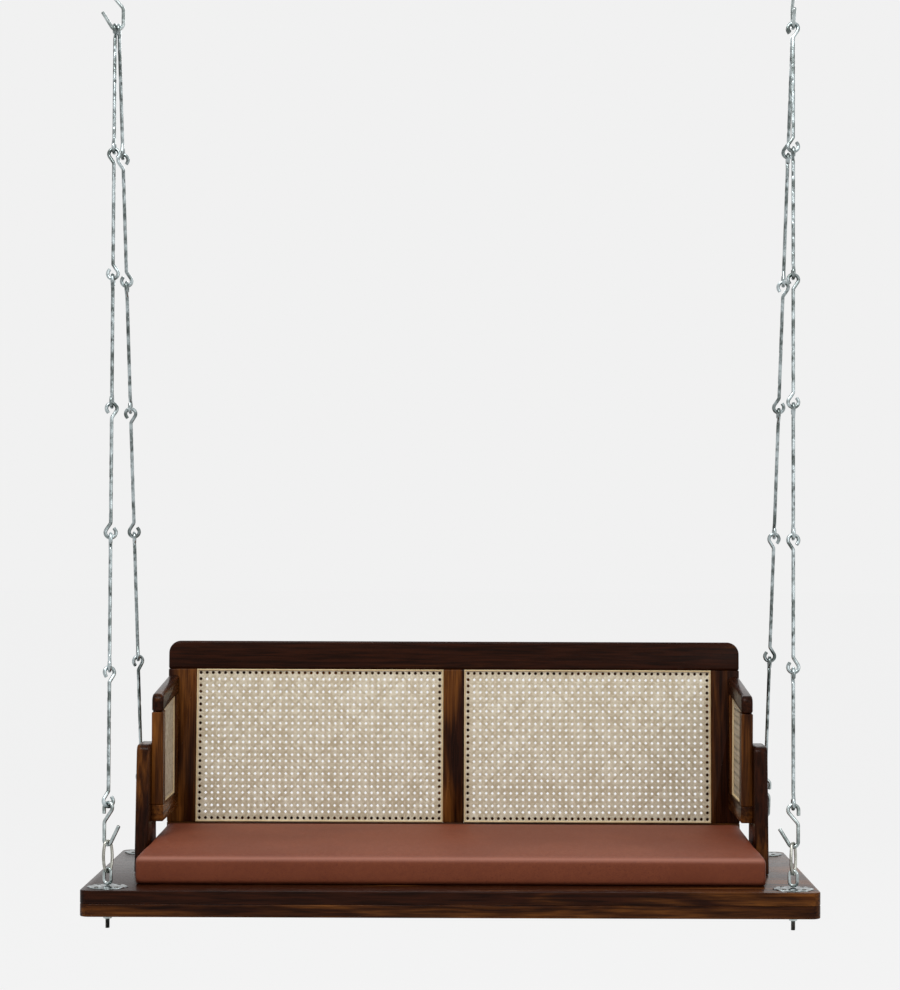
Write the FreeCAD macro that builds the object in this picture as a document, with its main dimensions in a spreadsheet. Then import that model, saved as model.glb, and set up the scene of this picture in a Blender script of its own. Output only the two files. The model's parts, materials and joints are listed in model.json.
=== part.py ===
"""Hanging swing bench: a cane-backed wooden bench on four chains of hooked rods, hung from two ceiling hooks.

Millimetres. +Z is up, the seat faces -Y, and X runs along the seat. The origin lies on the ceiling,
halfway between the two ceiling hooks.
"""

import FreeCAD, Part

import math
import os

import Sketcher
from FreeCAD import Rotation, Vector

doc = FreeCAD.newDocument("swing_bench")

# Driving sizes, with what each one measures

SIZES = [
    ("base_length", 1320, "seat base, end to end"),
    ("base_depth", 610, "seat base, front to back"),
    ("board_thickness", 24, "upper board of the base"),
    ("skirt_thickness", 23, "lower rails glued under the board"),
    ("skirt_width", 62, "width of a lower rail"),
    ("base_corner", 18, "plan radius of the base corners"),
    ("cushion_side_gap", 1, "cushion to post, each side"),
    ("cushion_setback", 78, "base front edge to cushion front"),
    ("cushion_edge", 50, "cushion height at its front edge"),
    ("cushion_rise", 10, "how much higher the cushion is at its rear edge"),
    ("cushion_crown", 8, "rise of the cushion's middle over its edges"),
    ("cushion_round", 11, "radius of the cushion's top edges"),
    ("cushion_draw", 4, "how far the sides pull in between the corners"),
    ("cushion_bulge", 3, "how far a side swells at half height"),
    ("cushion_gap", 0.3, "cushion to what it rests on and leans on"),
    ("post_inset", 92, "base end to the inner face of its side post"),
    ("post_thickness", 25, "side post, across"),
    ("post_foot", 140, "side post, front to back at the base"),
    ("post_head", 97, "side post, front to back at the top"),
    ("post_lean", 32, "how far the post's front edge leans back"),
    ("post_height", 237, "side post above the base"),
    ("post_setback", 245, "base front edge to post"),
    ("post_round", 16, "radius of the post's top corners"),
    ("arm_thickness", 22, "arm frame, across"),
    ("arm_setback", 303, "base front edge to arm front"),
    ("arm_clear", 90, "base to the arm's lower edge"),
    ("arm_front_height", 330, "base to the arm's top at the front"),
    ("arm_rear_height", 352, "base to the arm's top at the back"),
    ("arm_top_rail", 34, "height of the arm's top rail"),
    ("arm_low_rail", 31, "height of the arm's lower rail"),
    ("arm_front_stile", 36, "arm's front stile, front to back"),
    ("arm_rear_stile", 34, "arm's rear stile, front to back"),
    ("arm_round", 16, "radius of the arm's front top corner"),
    ("arm_cane_inset", 6, "arm's inner face to its cane"),
    ("back_height", 419, "backrest along its slope"),
    ("back_thickness", 25, "backrest frame"),
    ("back_recline", 5, "backrest lean, degrees"),
    ("back_foot_setback", 35, "base rear edge to the backrest's rear face at its foot"),
    ("back_top_rail", 56, "height of the backrest's top rail"),
    ("back_low_rail", 60, "height of the backrest's lower rail"),
    ("back_stile", 56, "width of a side stile"),
    ("back_mid_stile", 41, "width of the centre stile"),
    ("back_round", 24, "radius of the backrest's top corners"),
    ("back_cane_inset", 3, "backrest's front face to its cane"),
    ("cane_thickness", 2, "woven cane sheet"),
    ("bead_width", 5, "cane bead round each panel"),
    ("eye_end_inset", 45, "base end to eye bolt"),
    ("eye_edge_inset", 48, "base front or rear edge to eye bolt"),
    ("bolt_diameter", 8, "shank of an eye bolt"),
    ("bolt_tail", 26, "shank below the base"),
    ("eye_wire", 6, "bar of the eye"),
    ("eye_width", 21, "eye, outside"),
    ("eye_height", 33, "eye, outside"),
    ("eye_turn", -28, "turn of an eye from facing the front, degrees"),
    ("plate_diameter", 74, "round plate under an eye"),
    ("plate_thickness", 3, "round plate under an eye"),
    ("plate_wave", 4, "how deep the plate's rim waves in"),
    ("washer_diameter", 24, "washer under the base"),
    ("washer_thickness", 2, "washer under the base"),
    ("nut_width", 13, "nut across its flats"),
    ("nut_height", 7, "nut"),
    ("hole_gap", 0.3, "bolt to the hole round it, on the radius"),
    ("ring_wire", 5.6, "bar of an oval ring"),
    ("ring_length", 61, "oval ring, outside"),
    ("ring_width", 30, "oval ring, outside"),
    ("ring_end", 9.2, "centreline radius of a ring's ends"),
    ("rod_wire", 6.8, "wire of the chain rods and S hooks"),
    ("rod_loop", 9.7, "centreline radius of a rod's end loops"),
    ("rod_neck", 33, "bend of a rod at its neck, degrees"),
    ("rod_neck_bend", 6, "centreline radius of that bend"),
    ("rod_tip", 4, "straight tip past a loop"),
    ("hook_loop", 9.4, "centreline radius of an S hook's upper loop"),
    ("hook_bow", 8.8, "centreline radius of a lower S hook's bow"),
    ("hook_top_bow", 12, "centreline radius of a top S hook's bow, which takes two rods"),
    ("hook_centres", 57, "S hook, loop centre to bow centre"),
    ("hook_neck", 41, "slant of an S hook's neck, degrees"),
    ("hook_bend", 10, "centreline radius where the neck turns down"),
    ("hook_tail", 10, "straight tail past the upper loop"),
    ("hook_flare", 32, "lean of an S hook's open end, degrees"),
    ("hook_flare_length", 33, "straight open end of an S hook"),
    ("ceiling_wire", 8, "bar of a ceiling hook, which is also its stud"),
    ("ceiling_bow", 14, "centreline radius of a ceiling hook's bow"),
    ("ceiling_neck", 42, "bend of a ceiling hook at its neck, degrees"),
    ("ceiling_neck_bend", 9, "centreline radius of that bend"),
    ("ceiling_tip", 3, "straight tip past the bow"),
    ("stud_length", 50, "left ceiling hook above the ceiling's face"),
    ("cover_diameter", 36, "round cover plate at the ceiling"),
    ("cover_thickness", 3, "round cover plate at the ceiling"),
    ("cover_gap", 1.3, "ceiling stud to the hole in its cover plate, on the radius"),
    ("hang_spread", 1286, "between the two ceiling hooks"),
    ("swing_drop", 60, "ceiling to the line that the bench swings about"),
    ("seat_drop", 1730, "ceiling to the top of the base"),
    ("balance_setback", 34.7, "ceiling hooks behind the middle of the base, over the centre of mass"),
    ("seat_gap", 0.3, "between two bars that hang one on the other"),
    ("cut_overrun", 2, "how far a cutting shape passes a face"),
]

RODS_PER_CHAIN = 6
WIRE_SIDES = 6
BEND_STEP = 31  # most degrees that one short length of a bend turns
HOOK_SIDES = 8
PLATE_LOBES = 8
POINTS_PER_LOBE = 6

sheet = doc.addObject("Spreadsheet::Sheet", "sizes")
for row, (alias, value, meaning) in enumerate(SIZES, start=1):
    sheet.set(f"A{row}", meaning)
    sheet.set(f"B{row}", str(value))
    sheet.setAlias(f"B{row}", alias)
doc.recompute()


class Size:
    """A size as a number and as the spreadsheet expression that gives it."""

    def __init__(self, value, text):
        self.value = value
        self.text = text

    def joined(self, sign, other, flipped=False):
        if not isinstance(other, Size):
            other = Size(other, str(other))
        left, right = (other, self) if flipped else (self, other)
        results = {
            "+": lambda p, q: p + q,
            "-": lambda p, q: p - q,
            "*": lambda p, q: p * q,
            "/": lambda p, q: p / q,
        }
        return Size(results[sign](left.value, right.value), f"({left.text} {sign} {right.text})")

    def __add__(self, other):
        return self.joined("+", other)

    def __radd__(self, other):
        return self.joined("+", other, flipped=True)

    def __sub__(self, other):
        return self.joined("-", other)

    def __rsub__(self, other):
        return self.joined("-", other, flipped=True)

    def __mul__(self, other):
        return self.joined("*", other)

    def __rmul__(self, other):
        return self.joined("*", other, flipped=True)

    def __truediv__(self, other):
        return self.joined("/", other)

    def __neg__(self):
        return Size(-self.value, f"(-{self.text})")


def tangent(angle):
    return Size(math.tan(math.radians(angle.value)), f"tan({angle.text} * 1deg)")


def cosine(angle):
    return Size(math.cos(math.radians(angle.value)), f"cos({angle.text} * 1deg)")


def sine(angle):
    return Size(math.sin(math.radians(angle.value)), f"sin({angle.text} * 1deg)")


size = {alias: Size(float(sheet.get(alias)), f"sizes.{alias}") for alias, _, _ in SIZES}
num = {alias: entry.value for alias, entry in size.items()}
ZERO = Size(0.0, "0")

exported = []


def keep(thing, name):
    """Marks an object as a sub-part that gets its own file."""
    thing.Label = name
    exported.append(thing)
    return thing


def together(name, pieces):
    """Several solids of one kind as one sub-part."""
    group = doc.addObject("Part::Compound", name)
    group.Links = pieces
    return keep(group, name)


def bind(thing, prop, amount):
    """Sets a property from a size and ties it to the sheet."""
    thing.setExpression(prop, amount.text)


def place(thing, spot, turn=None):
    """Puts an object at three sizes, turned about X by an angle when one is given."""
    if turn is not None:
        thing.Placement = FreeCAD.Placement(Vector(), Rotation(Vector(1, 0, 0), turn.value))
        bind(thing, "Placement.Rotation.Angle", turn)
    for axis, amount in zip("xyz", spot):
        bind(thing, f"Placement.Base.{axis}", amount)


def origin_plane(body, role):
    return next(item for item in body.Origin.OriginFeatures if item.Role == role)


def draw_outline(body, role, points):
    """A closed outline of straight lines, each corner tied to the sheet."""
    sketch = body.newObject("Sketcher::SketchObject", "outline")
    sketch.AttachmentSupport = [(origin_plane(body, role), "")]
    sketch.MapMode = "FlatFace"
    corners = [Vector(across.value, up.value, 0) for across, up in points]
    count = len(points)
    for i in range(count):
        sketch.addGeometry(Part.LineSegment(corners[i], corners[(i + 1) % count]))
    for i, (across, up) in enumerate(points):
        sketch.addConstraint(Sketcher.Constraint("Coincident", i, 2, (i + 1) % count, 1))
        for kind, amount in (("DistanceX", across), ("DistanceY", up)):
            index = sketch.addConstraint(Sketcher.Constraint(kind, -1, 1, i, 1, amount.value))
            sketch.renameConstraint(index, f"{kind}{i}")
            sketch.setExpression(f"Constraints.{kind}{i}", amount.text)
    return sketch


def edges_at(shape, spots, along):
    """Names of the straight edges that run along a direction through one of the spots."""
    names = []
    for number, edge in enumerate(shape.Edges, start=1):
        ends = [v.Point for v in edge.Vertexes]
        if len(ends) != 2 or (ends[1] - ends[0]).cross(along).Length > 0.001 * edge.Length:
            continue
        if any((ends[0] - spot).cross(along).Length < 0.01 for spot in spots):
            names.append(f"Edge{number}")
    return names


def plate(name, role, points, thickness, spot, turn=None, rounds=(), radius=None):
    """A flat piece: an outline padded by its thickness, with some of its corners rounded.

    The pad of an outline on the YZ plane grows along +X, on the XZ plane along -Y, on the XY plane along +Z.
    """
    body = doc.addObject("PartDesign::Body", name)
    sketch = draw_outline(body, role, points)
    pad = body.newObject("PartDesign::Pad", "pad")
    pad.Profile = sketch
    bind(pad, "Length", thickness)
    doc.recompute()
    if rounds:
        lift = {"YZ_Plane": lambda a, b: Vector(0, a, b), "XZ_Plane": lambda a, b: Vector(a, 0, b)}
        lift["XY_Plane"] = lambda a, b: Vector(a, b, 0)
        normal = {"YZ_Plane": Vector(1, 0, 0), "XZ_Plane": Vector(0, 1, 0), "XY_Plane": Vector(0, 0, 1)}
        spots = [lift[role](points[i][0].value, points[i][1].value) for i in rounds]
        fillet = body.newObject("PartDesign::Fillet", "rounded_corners")
        fillet.Base = (pad, edges_at(pad.Shape, spots, normal[role]))
        bind(fillet, "Radius", radius)
    place(body, spot, turn)
    return body


def rectangle(left, low, right, high):
    return [(left, low), (right, low), (right, high), (left, high)]


# Places that several pieces share

base_middle = -size["balance_setback"]
base_top = -size["seat_drop"]
front_edge = base_middle - size["base_depth"] / 2
rear_edge = base_middle + size["base_depth"] / 2
half_length = size["base_length"] / 2
half_inner = half_length - size["post_inset"]
skirt_low = base_top - size["board_thickness"] - size["skirt_thickness"]
eye_across = half_length - size["eye_end_inset"]
eye_along = size["base_depth"] / 2 - size["eye_edge_inset"]
eye_spots = [
    (side * eye_across.value, base_middle.value + end * eye_along.value)
    for side in (-1, 1)
    for end in (-1, 1)
]
SIDES = {"left": -1, "right": 1}
ENDS = {"front": -1, "rear": 1}


# Seat base: an upper board with lower rails round its underside, drilled for the four eye bolts

def drill(body, radius):
    """Four vertical holes through a part of the base, one at each eye bolt."""
    for index, (side, end) in enumerate((a, b) for a in (-1, 1) for b in (-1, 1)):
        hole = body.newObject("PartDesign::SubtractiveCylinder", f"bolt_hole_{index + 1}")
        bind(hole, "Radius", radius)
        bind(hole, "Height", size["board_thickness"] + size["skirt_thickness"] + 2 * size["cut_overrun"])
        hole.MapMode = "Deactivated"
        bind(hole, "Placement.Base.x", side * eye_across)
        bind(hole, "Placement.Base.y", end * eye_along)
        bind(hole, "Placement.Base.z", -size["cut_overrun"])


half_depth = size["base_depth"] / 2
bolt_hole = size["bolt_diameter"] / 2 + size["hole_gap"]
board = plate(
    "seat_board",
    "XY_Plane",
    rectangle(-half_length, -half_depth, half_length, half_depth),
    size["board_thickness"],
    (ZERO, base_middle, base_top - size["board_thickness"]),
    rounds=(0, 1, 2, 3),
    radius=size["base_corner"],
)
drill(board, bolt_hole)
keep(board, "seat_board")

skirt = plate(
    "seat_skirt",
    "XY_Plane",
    rectangle(-half_length, -half_depth, half_length, half_depth),
    size["skirt_thickness"],
    (ZERO, base_middle, skirt_low),
    rounds=(0, 1, 2, 3),
    radius=size["base_corner"],
)
hollow = skirt.newObject("PartDesign::SubtractiveBox", "open_middle")
bind(hollow, "Length", size["base_length"] - 2 * size["skirt_width"])
bind(hollow, "Width", size["base_depth"] - 2 * size["skirt_width"])
bind(hollow, "Height", size["skirt_thickness"] + 2 * size["cut_overrun"])
hollow.MapMode = "Deactivated"
bind(hollow, "Placement.Base.x", size["skirt_width"] - half_length)
bind(hollow, "Placement.Base.y", size["skirt_width"] - half_depth)
bind(hollow, "Placement.Base.z", -size["cut_overrun"])
drill(skirt, bolt_hole)
keep(skirt, "seat_skirt")

half_rail = size["skirt_width"] / 2
cross_rail = plate(
    "seat_cross_rail",
    "XY_Plane",
    rectangle(-half_rail, size["skirt_width"] - half_depth, half_rail, half_depth - size["skirt_width"]),
    size["skirt_thickness"],
    (ZERO, base_middle, skirt_low),
)
keep(cross_rail, "seat_cross_rail")


# Side posts, which stand on the base and lean in towards their top

for side_name, side in SIDES.items():
    outline = [
        (ZERO, ZERO),
        (size["post_foot"], ZERO),
        (size["post_lean"] + size["post_head"], size["post_height"]),
        (size["post_lean"], size["post_height"]),
    ]
    inner = half_inner if side > 0 else -half_inner - size["post_thickness"]
    post = plate(
        f"{side_name}_post",
        "YZ_Plane",
        outline,
        size["post_thickness"],
        (inner, front_edge + size["post_setback"], base_top),
        rounds=(2, 3),
        radius=size["post_round"],
    )
    keep(post, f"{side_name}_post")


# Backrest: a rail and stile frame that leans back, with two cane panels. Its outlines lie in its own
# sloping frame, whose origin is the middle of its front face at the foot

back_foot = rear_edge - size["back_foot_setback"] - size["back_thickness"] / cosine(size["back_recline"])
half_back = half_inner
low_rail_top = size["back_low_rail"]
top_rail_foot = size["back_height"] - size["back_top_rail"]
opening_outer = half_back - size["back_stile"]
opening_inner = size["back_mid_stile"] / 2
foot_rise = size["back_thickness"] * sine(size["back_recline"])


def back_piece(name, points, thickness, depth, rounds=(), radius=None):
    """A piece of the backrest: an outline on its front plane, at a depth behind the front face."""
    tilt = -size["back_recline"]
    body = doc.addObject("PartDesign::Body", name)
    sketch = draw_outline(body, "XZ_Plane", points)
    pad = body.newObject("PartDesign::Pad", "pad")
    pad.Profile = sketch
    pad.Reversed = True
    bind(pad, "Length", thickness)
    doc.recompute()
    if rounds:
        spots = [Vector(points[i][0].value, 0, points[i][1].value) for i in rounds]
        fillet = body.newObject("PartDesign::Fillet", "rounded_corners")
        fillet.Base = (pad, edges_at(pad.Shape, spots, Vector(0, 1, 0)))
        bind(fillet, "Radius", radius)
    shift = (ZERO, back_foot + depth * cosine(tilt), base_top + foot_rise + depth * sine(tilt))
    place(body, shift, turn=tilt)
    return keep(body, name)


back_piece(
    "back_top_rail",
    rectangle(-half_back, top_rail_foot, half_back, size["back_height"]),
    size["back_thickness"],
    ZERO,
    rounds=(2, 3),
    radius=size["back_round"],
)
back_piece(
    "back_low_rail", rectangle(-half_back, ZERO, half_back, low_rail_top), size["back_thickness"], ZERO
)
for side_name, side in SIDES.items():
    edges = (side * opening_outer, side * half_back)
    near, far = edges if side > 0 else edges[::-1]
    back_piece(
        f"back_{side_name}_stile",
        rectangle(near, low_rail_top, far, top_rail_foot),
        size["back_thickness"],
        ZERO,
    )
back_piece(
    "back_mid_stile",
    rectangle(-opening_inner, low_rail_top, opening_inner, top_rail_foot),
    size["back_thickness"],
    ZERO,
)
for side_name, side in SIDES.items():
    edges = (side * opening_inner, side * opening_outer)
    near, far = edges if side > 0 else edges[::-1]
    back_piece(
        f"back_{side_name}_cane",
        rectangle(near, low_rail_top, far, top_rail_foot),
        size["cane_thickness"],
        size["back_cane_inset"],
    )


beads = []


def bead_frame(body, role, outer, thickness, inward):
    """A picture-frame strip: an outline padded, with the same outline drawn in by the bead's width cut out."""
    sketch = draw_outline(body, role, outer)
    pad = body.newObject("PartDesign::Pad", "pad")
    pad.Profile = sketch
    pad.Reversed = inward
    bind(pad, "Length", thickness)
    wide = size["bead_width"]
    signs = [(1, 1), (-1, 1), (-1, -1), (1, -1)]
    inner = [(across + wide * a, up + wide * b) for (across, up), (a, b) in zip(outer, signs)]
    cut_sketch = draw_outline(body, role, inner)
    cut = body.newObject("PartDesign::Pocket", "open_middle")
    cut.Profile = cut_sketch
    cut.Reversed = not inward
    bind(cut, "Length", thickness)
    return body


for side_name, side in SIDES.items():
    edges = (side * opening_inner, side * opening_outer)
    near, far = edges if side > 0 else edges[::-1]
    bead = doc.addObject("PartDesign::Body", f"back_{side_name}_bead")
    bead_frame(bead, "XZ_Plane", rectangle(near, low_rail_top, far, top_rail_foot), size["back_cane_inset"], True)
    place(bead, (ZERO, back_foot, base_top + foot_rise), turn=-size["back_recline"])
    beads.append(bead)


# Arm frames: cane panels between two through rails and two stiles, fixed inside the posts. Their outlines
# lie on the YZ plane, measured from the arm's front at the height of the base

arm_front = front_edge + size["arm_setback"]


def back_face_at(height):
    """Front face of the backrest at a height over the base, measured from the arm's front."""
    return back_foot - arm_front + (height - foot_rise) * tangent(size["back_recline"])


arm_run = back_face_at(size["arm_rear_height"])
arm_slope = (size["arm_rear_height"] - size["arm_front_height"]) / arm_run


def arm_top_at(along):
    """Top edge of the arm, which rises to the back."""
    return size["arm_front_height"] + arm_slope * along


low_rail = (size["arm_clear"], size["arm_clear"] + size["arm_low_rail"])
front_stile_end = size["arm_front_stile"]
rail_under_front = size["arm_front_height"] - size["arm_top_rail"]
under_run = back_face_at(rail_under_front) / (1 - arm_slope * tangent(size["back_recline"]))
rail_under_rear = arm_top_at(under_run) - size["arm_top_rail"]
rear_stile_start = back_face_at(low_rail[1]) - size["arm_rear_stile"]


def under_rail_at(along):
    """Lower edge of the arm's top rail."""
    return arm_top_at(along) - size["arm_top_rail"]


arm_outlines = {
    "top_rail": [
        (ZERO, rail_under_front),
        (under_run, rail_under_rear),
        (arm_run, size["arm_rear_height"]),
        (ZERO, size["arm_front_height"]),
    ],
    "low_rail": [
        (ZERO, low_rail[0]),
        (back_face_at(low_rail[0]), low_rail[0]),
        (back_face_at(low_rail[1]), low_rail[1]),
        (ZERO, low_rail[1]),
    ],
    "front_stile": [
        (ZERO, low_rail[1]),
        (front_stile_end, low_rail[1]),
        (front_stile_end, under_rail_at(front_stile_end)),
        (ZERO, rail_under_front),
    ],
    "rear_stile": [
        (rear_stile_start, low_rail[1]),
        (back_face_at(low_rail[1]), low_rail[1]),
        (under_run, rail_under_rear),
        (rear_stile_start, under_rail_at(rear_stile_start)),
    ],
}
arm_opening = [
    (front_stile_end, low_rail[1]),
    (rear_stile_start, low_rail[1]),
    (rear_stile_start, under_rail_at(rear_stile_start)),
    (front_stile_end, under_rail_at(front_stile_end)),
]

for side_name, side in SIDES.items():
    outer_face = half_inner - size["arm_thickness"] if side > 0 else -half_inner
    stiles = []
    for piece, outline in arm_outlines.items():
        rounded = piece == "top_rail"
        arm = plate(
            f"{side_name}_arm_{piece}",
            "YZ_Plane",
            outline,
            size["arm_thickness"],
            (outer_face, arm_front, base_top),
            rounds=(3,) if rounded else (),
            radius=size["arm_round"],
        )
        if piece.endswith("rail"):
            keep(arm, f"{side_name}_arm_{piece}")
        else:
            stiles.append(arm)
    together(f"{side_name}_arm_stiles", stiles)
    inner_face = half_inner - size["arm_thickness"]
    inset = size["arm_cane_inset"]
    cane_low = inner_face + inset if side > 0 else -inner_face - inset - size["cane_thickness"]
    cane = plate(
        f"{side_name}_arm_cane",
        "YZ_Plane",
        arm_opening,
        size["cane_thickness"],
        (cane_low, arm_front, base_top),
    )
    keep(cane, f"{side_name}_arm_cane")
    bead = doc.addObject("PartDesign::Body", f"{side_name}_arm_bead")
    bead_frame(bead, "YZ_Plane", arm_opening, inset, False)
    place(bead, (inner_face if side > 0 else -inner_face - inset, arm_front, base_top))
    beads.append(bead)

together("cane_beads", beads)


# Cushion: sections across the seat, lofted from end to end. Each has a flat foot, swelling sides, rounded top
# edges and a crowned top

def arc_through(start, middle, end):
    return Part.Arc(start, middle, end).toShape()


def cushion_section(across, front, rear, edge, crown):
    """One closed section: foot line, front and rear sides that swell, and a crowned top between the rounds."""
    swell = num["cushion_bulge"]
    turn = num["cushion_round"]
    foot = base_top.value + num["cushion_gap"]
    high = foot + edge
    lean = 1 - 1 / math.sqrt(2)
    a, b = Vector(across, rear, foot), Vector(across, front, foot)
    rear_high = high + num["cushion_rise"]
    c, d = Vector(across, front, high - turn), Vector(across, front + turn, high)
    e, f = Vector(across, rear - turn, rear_high), Vector(across, rear, rear_high - turn)
    half_front, half_rear = (c.z - foot) / 2, (f.z - foot) / 2
    return Part.Wire(
        [
            Part.LineSegment(a, b).toShape(),
            arc_through(b, Vector(across, front - swell, foot + half_front), c),
            arc_through(c, Vector(across, front + turn * lean, high - turn * lean), d),
            arc_through(d, Vector(across, (front + rear) / 2, (high + rear_high) / 2 + crown), e),
            arc_through(e, Vector(across, rear - turn * lean, rear_high - turn * lean), f),
            arc_through(f, Vector(across, rear + swell, foot + half_rear), a),
        ]
    )


half_cushion = half_inner.value - num["cushion_side_gap"]
swell = num["cushion_bulge"]
cushion_front = front_edge.value + num["cushion_setback"] + swell
cushion_rear = back_foot.value - num["cushion_gap"] - swell
end_run = num["cushion_round"]
end_shares = (0, 0.13, 0.5, 1)
length_shares = (0.75, 0.5, 0.25, 0)
end_spots = [half_cushion - end_run * share for share in end_shares]
spots = end_spots + [half_cushion * share for share in length_shares]
sections = []
for across in spots + [-spot for spot in reversed(spots[:-1])]:
    reach = abs(across) / half_cushion
    from_end = min(1, (half_cushion - abs(across)) / end_run)
    rounding = end_run * (1 - math.sqrt(1 - (1 - from_end) ** 2))
    inset = num["cushion_draw"] * (1 - reach**2) + rounding / 2
    crown = num["cushion_crown"] * (1 - reach**2 / 2)
    edge = num["cushion_edge"] - rounding / 2
    sections.append(cushion_section(across, cushion_front + inset, cushion_rear - inset, edge, crown))
cushion = doc.addObject("Part::Feature", "cushion")
cushion.Shape = Part.makeLoft(sections, True, True)
keep(cushion, "cushion")


# Bent bars: a straight-sided section carried along lines and bends in the XZ plane. Each bend is a few short
# straight lengths whose sides touch the bend's own curve, with the section mitred where they meet

def bent_path(spot, heading, steps):
    """Corner points of a bar's middle line. A step is a straight length or a bend (radius, degrees).

    A positive bend turns the heading from +Z towards +X.
    """
    corners = [spot]
    run = 0
    for step in steps:
        if not isinstance(step, tuple):
            run += step
            continue
        bend, angle = step
        count = max(1, math.ceil(abs(angle) / BEND_STEP))
        half_side = bend * math.tan(math.radians(abs(angle) / count / 2))
        run += half_side
        for _ in range(count):
            corners.append(corners[-1] + heading * run)
            heading = Rotation(Vector(0, 1, 0), angle / count).multVec(heading)
            run = 2 * half_side
        run = half_side
    corners.append(corners[-1] + heading * run)
    return corners


def bar_along(corners, radius, sides, closed=False):
    """The solid bar round a middle line: mitred sections, joined by flat faces."""
    count = len(corners)
    legs = [(corners[(i + 1) % count] - corners[i]).normalize() for i in range(count)]
    rings = []
    for i, corner in enumerate(corners):
        before = legs[i - 1] if i or closed else legs[0]
        after = legs[i] if i < count - 1 or closed else legs[i - 1]
        middle = (before + after).normalize()
        aside = Vector(middle.z, 0, -middle.x) / before.dot(middle)
        ring = []
        for step in range(sides):
            angle = 2 * math.pi * step / sides
            ring.append(corner + aside * (radius * math.cos(angle)) + Vector(0, radius * math.sin(angle), 0))
        rings.append(ring)
    faces = []
    for i in range(count if closed else count - 1):
        one, two = rings[i], rings[(i + 1) % count]
        for k in range(sides):
            turn = (k + 1) % sides
            faces.append(Part.Face(Part.makePolygon([one[k], one[turn], two[turn], two[k], one[k]])))
    if not closed:
        faces += [Part.Face(Part.makePolygon(ring + ring[:1])) for ring in (rings[0], rings[-1])]
    bar = Part.Solid(Part.Shell(faces))
    if bar.Volume < 0:
        bar.reverse()
    return bar


def bent_bar(spot, heading, steps, radius, sides):
    return bar_along(bent_path(spot, heading, steps), radius, sides)


def slanted(angle):
    """Unit heading that leans from straight down by an angle, towards -X."""
    return Vector(-math.sin(math.radians(angle)), 0, -math.cos(math.radians(angle)))


def looped_end(loop, neck, neck_bend, tip, shank):
    """Middle line of a loop on the end of a shank that comes straight down onto the loop, from its tip up.

    The loop's centre is the origin and the shank runs up from it. The tip lies on the -X side.
    """
    slope = math.radians(neck)
    apex = loop / math.sin(slope)
    side = loop / math.tan(slope)
    trim = neck_bend * math.tan(slope / 2)
    touch = Vector(-loop * math.cos(slope), 0, loop * math.sin(slope))
    outward = slanted(neck)
    start = touch - outward * tip
    steps = [tip, (loop, -(180 + 2 * neck)), side - trim, (neck_bend, neck), shank - apex - trim]
    return bent_path(start, outward, steps)


def rod_shape(centres):
    """A chain rod with a loop at each end, as far apart as the centres say. The rod's middle is the origin."""
    low = looped_end(num["rod_loop"], num["rod_neck"], num["rod_neck_bend"], num["rod_tip"], centres / 2)
    low = [corner - Vector(0, 0, centres / 2) for corner in low[:-1]]
    high = [Vector(-corner.x, 0, -corner.z) for corner in reversed(low)]
    return bar_along(low + high, num["rod_wire"] / 2, WIRE_SIDES)


def s_hook_shape(bow):
    """An S hook: tail, upper loop, slanting neck, straight body, bow and flared open end.

    The upper loop's centre is the origin. The flare leans towards -X.
    """
    loop = num["hook_loop"]
    slope = math.radians(num["hook_neck"])
    leave = Vector(-loop * math.cos(slope), 0, -loop * math.sin(slope))
    neck_run = (bow - leave.x) / math.sin(slope)
    corner_height = leave.z - neck_run * math.cos(slope)
    trim = num["hook_bend"] * math.tan(slope / 2)
    body = corner_height + num["hook_centres"] - trim
    steps = [
        num["hook_tail"],
        (loop, -(180 + num["hook_neck"])),
        neck_run - trim,
        (num["hook_bend"], num["hook_neck"]),
        body,
        (bow, 180 - num["hook_flare"]),
        num["hook_flare_length"],
    ]
    start = Vector(loop, 0, -num["hook_tail"])
    return bent_bar(start, Vector(0, 0, 1), steps, num["rod_wire"] / 2, HOOK_SIDES)


def oval_ring_shape():
    """An oval ring of four arcs that meet smoothly, standing on end about the origin."""
    half_long = (num["ring_length"] - num["ring_wire"]) / 2
    half_wide = (num["ring_width"] - num["ring_wire"]) / 2
    end = num["ring_end"]
    side = ((half_long - end) ** 2 + half_wide**2 - end**2) / (2 * (half_wide - end))
    spread = math.degrees(math.atan2(half_long - end, side - half_wide))
    steps = [(side, spread), (end, 180 - 2 * spread), (side, 2 * spread), (end, 180 - 2 * spread), (side, spread)]
    corners = bent_path(Vector(-half_wide, 0, 0), Vector(0, 0, 1), steps)
    return bar_along(corners[1:-1], num["ring_wire"] / 2, WIRE_SIDES, closed=True)


def aimed(spot, down, turn):
    """Placement of a hanging piece whose own -Z points down a chain, turned about that line from facing front."""
    up = down * -1
    face = Vector(1, 0, 0) - up * up.x
    face.normalize()
    face = Rotation(up, turn).multVec(face)
    return FreeCAD.Placement(spot, Rotation(face, up.cross(face), up, "ZXY"))


def hang(name, shape, spot, down, turn):
    """A piece that hangs on a chain, as a sub-part of its own."""
    piece = doc.addObject("Part::Feature", name)
    piece.Shape = shape
    piece.Placement = aimed(spot, down, turn)
    return keep(piece, name)


def grouped(name, shapes):
    """Several solids of one kind as one sub-part."""
    group = doc.addObject("Part::Feature", name)
    group.Shape = Part.makeCompound(shapes)
    return keep(group, name)


# Ceiling hooks and top S hooks. The left ceiling hook lies front to back and its S hook faces the front; the
# right pair is a quarter turn round. Both S hooks swing about one line along X: on the left it is the middle
# of the S hook's bar, on the right the middle of the ceiling hook's bar, so the right hook is screwed in deeper

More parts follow.
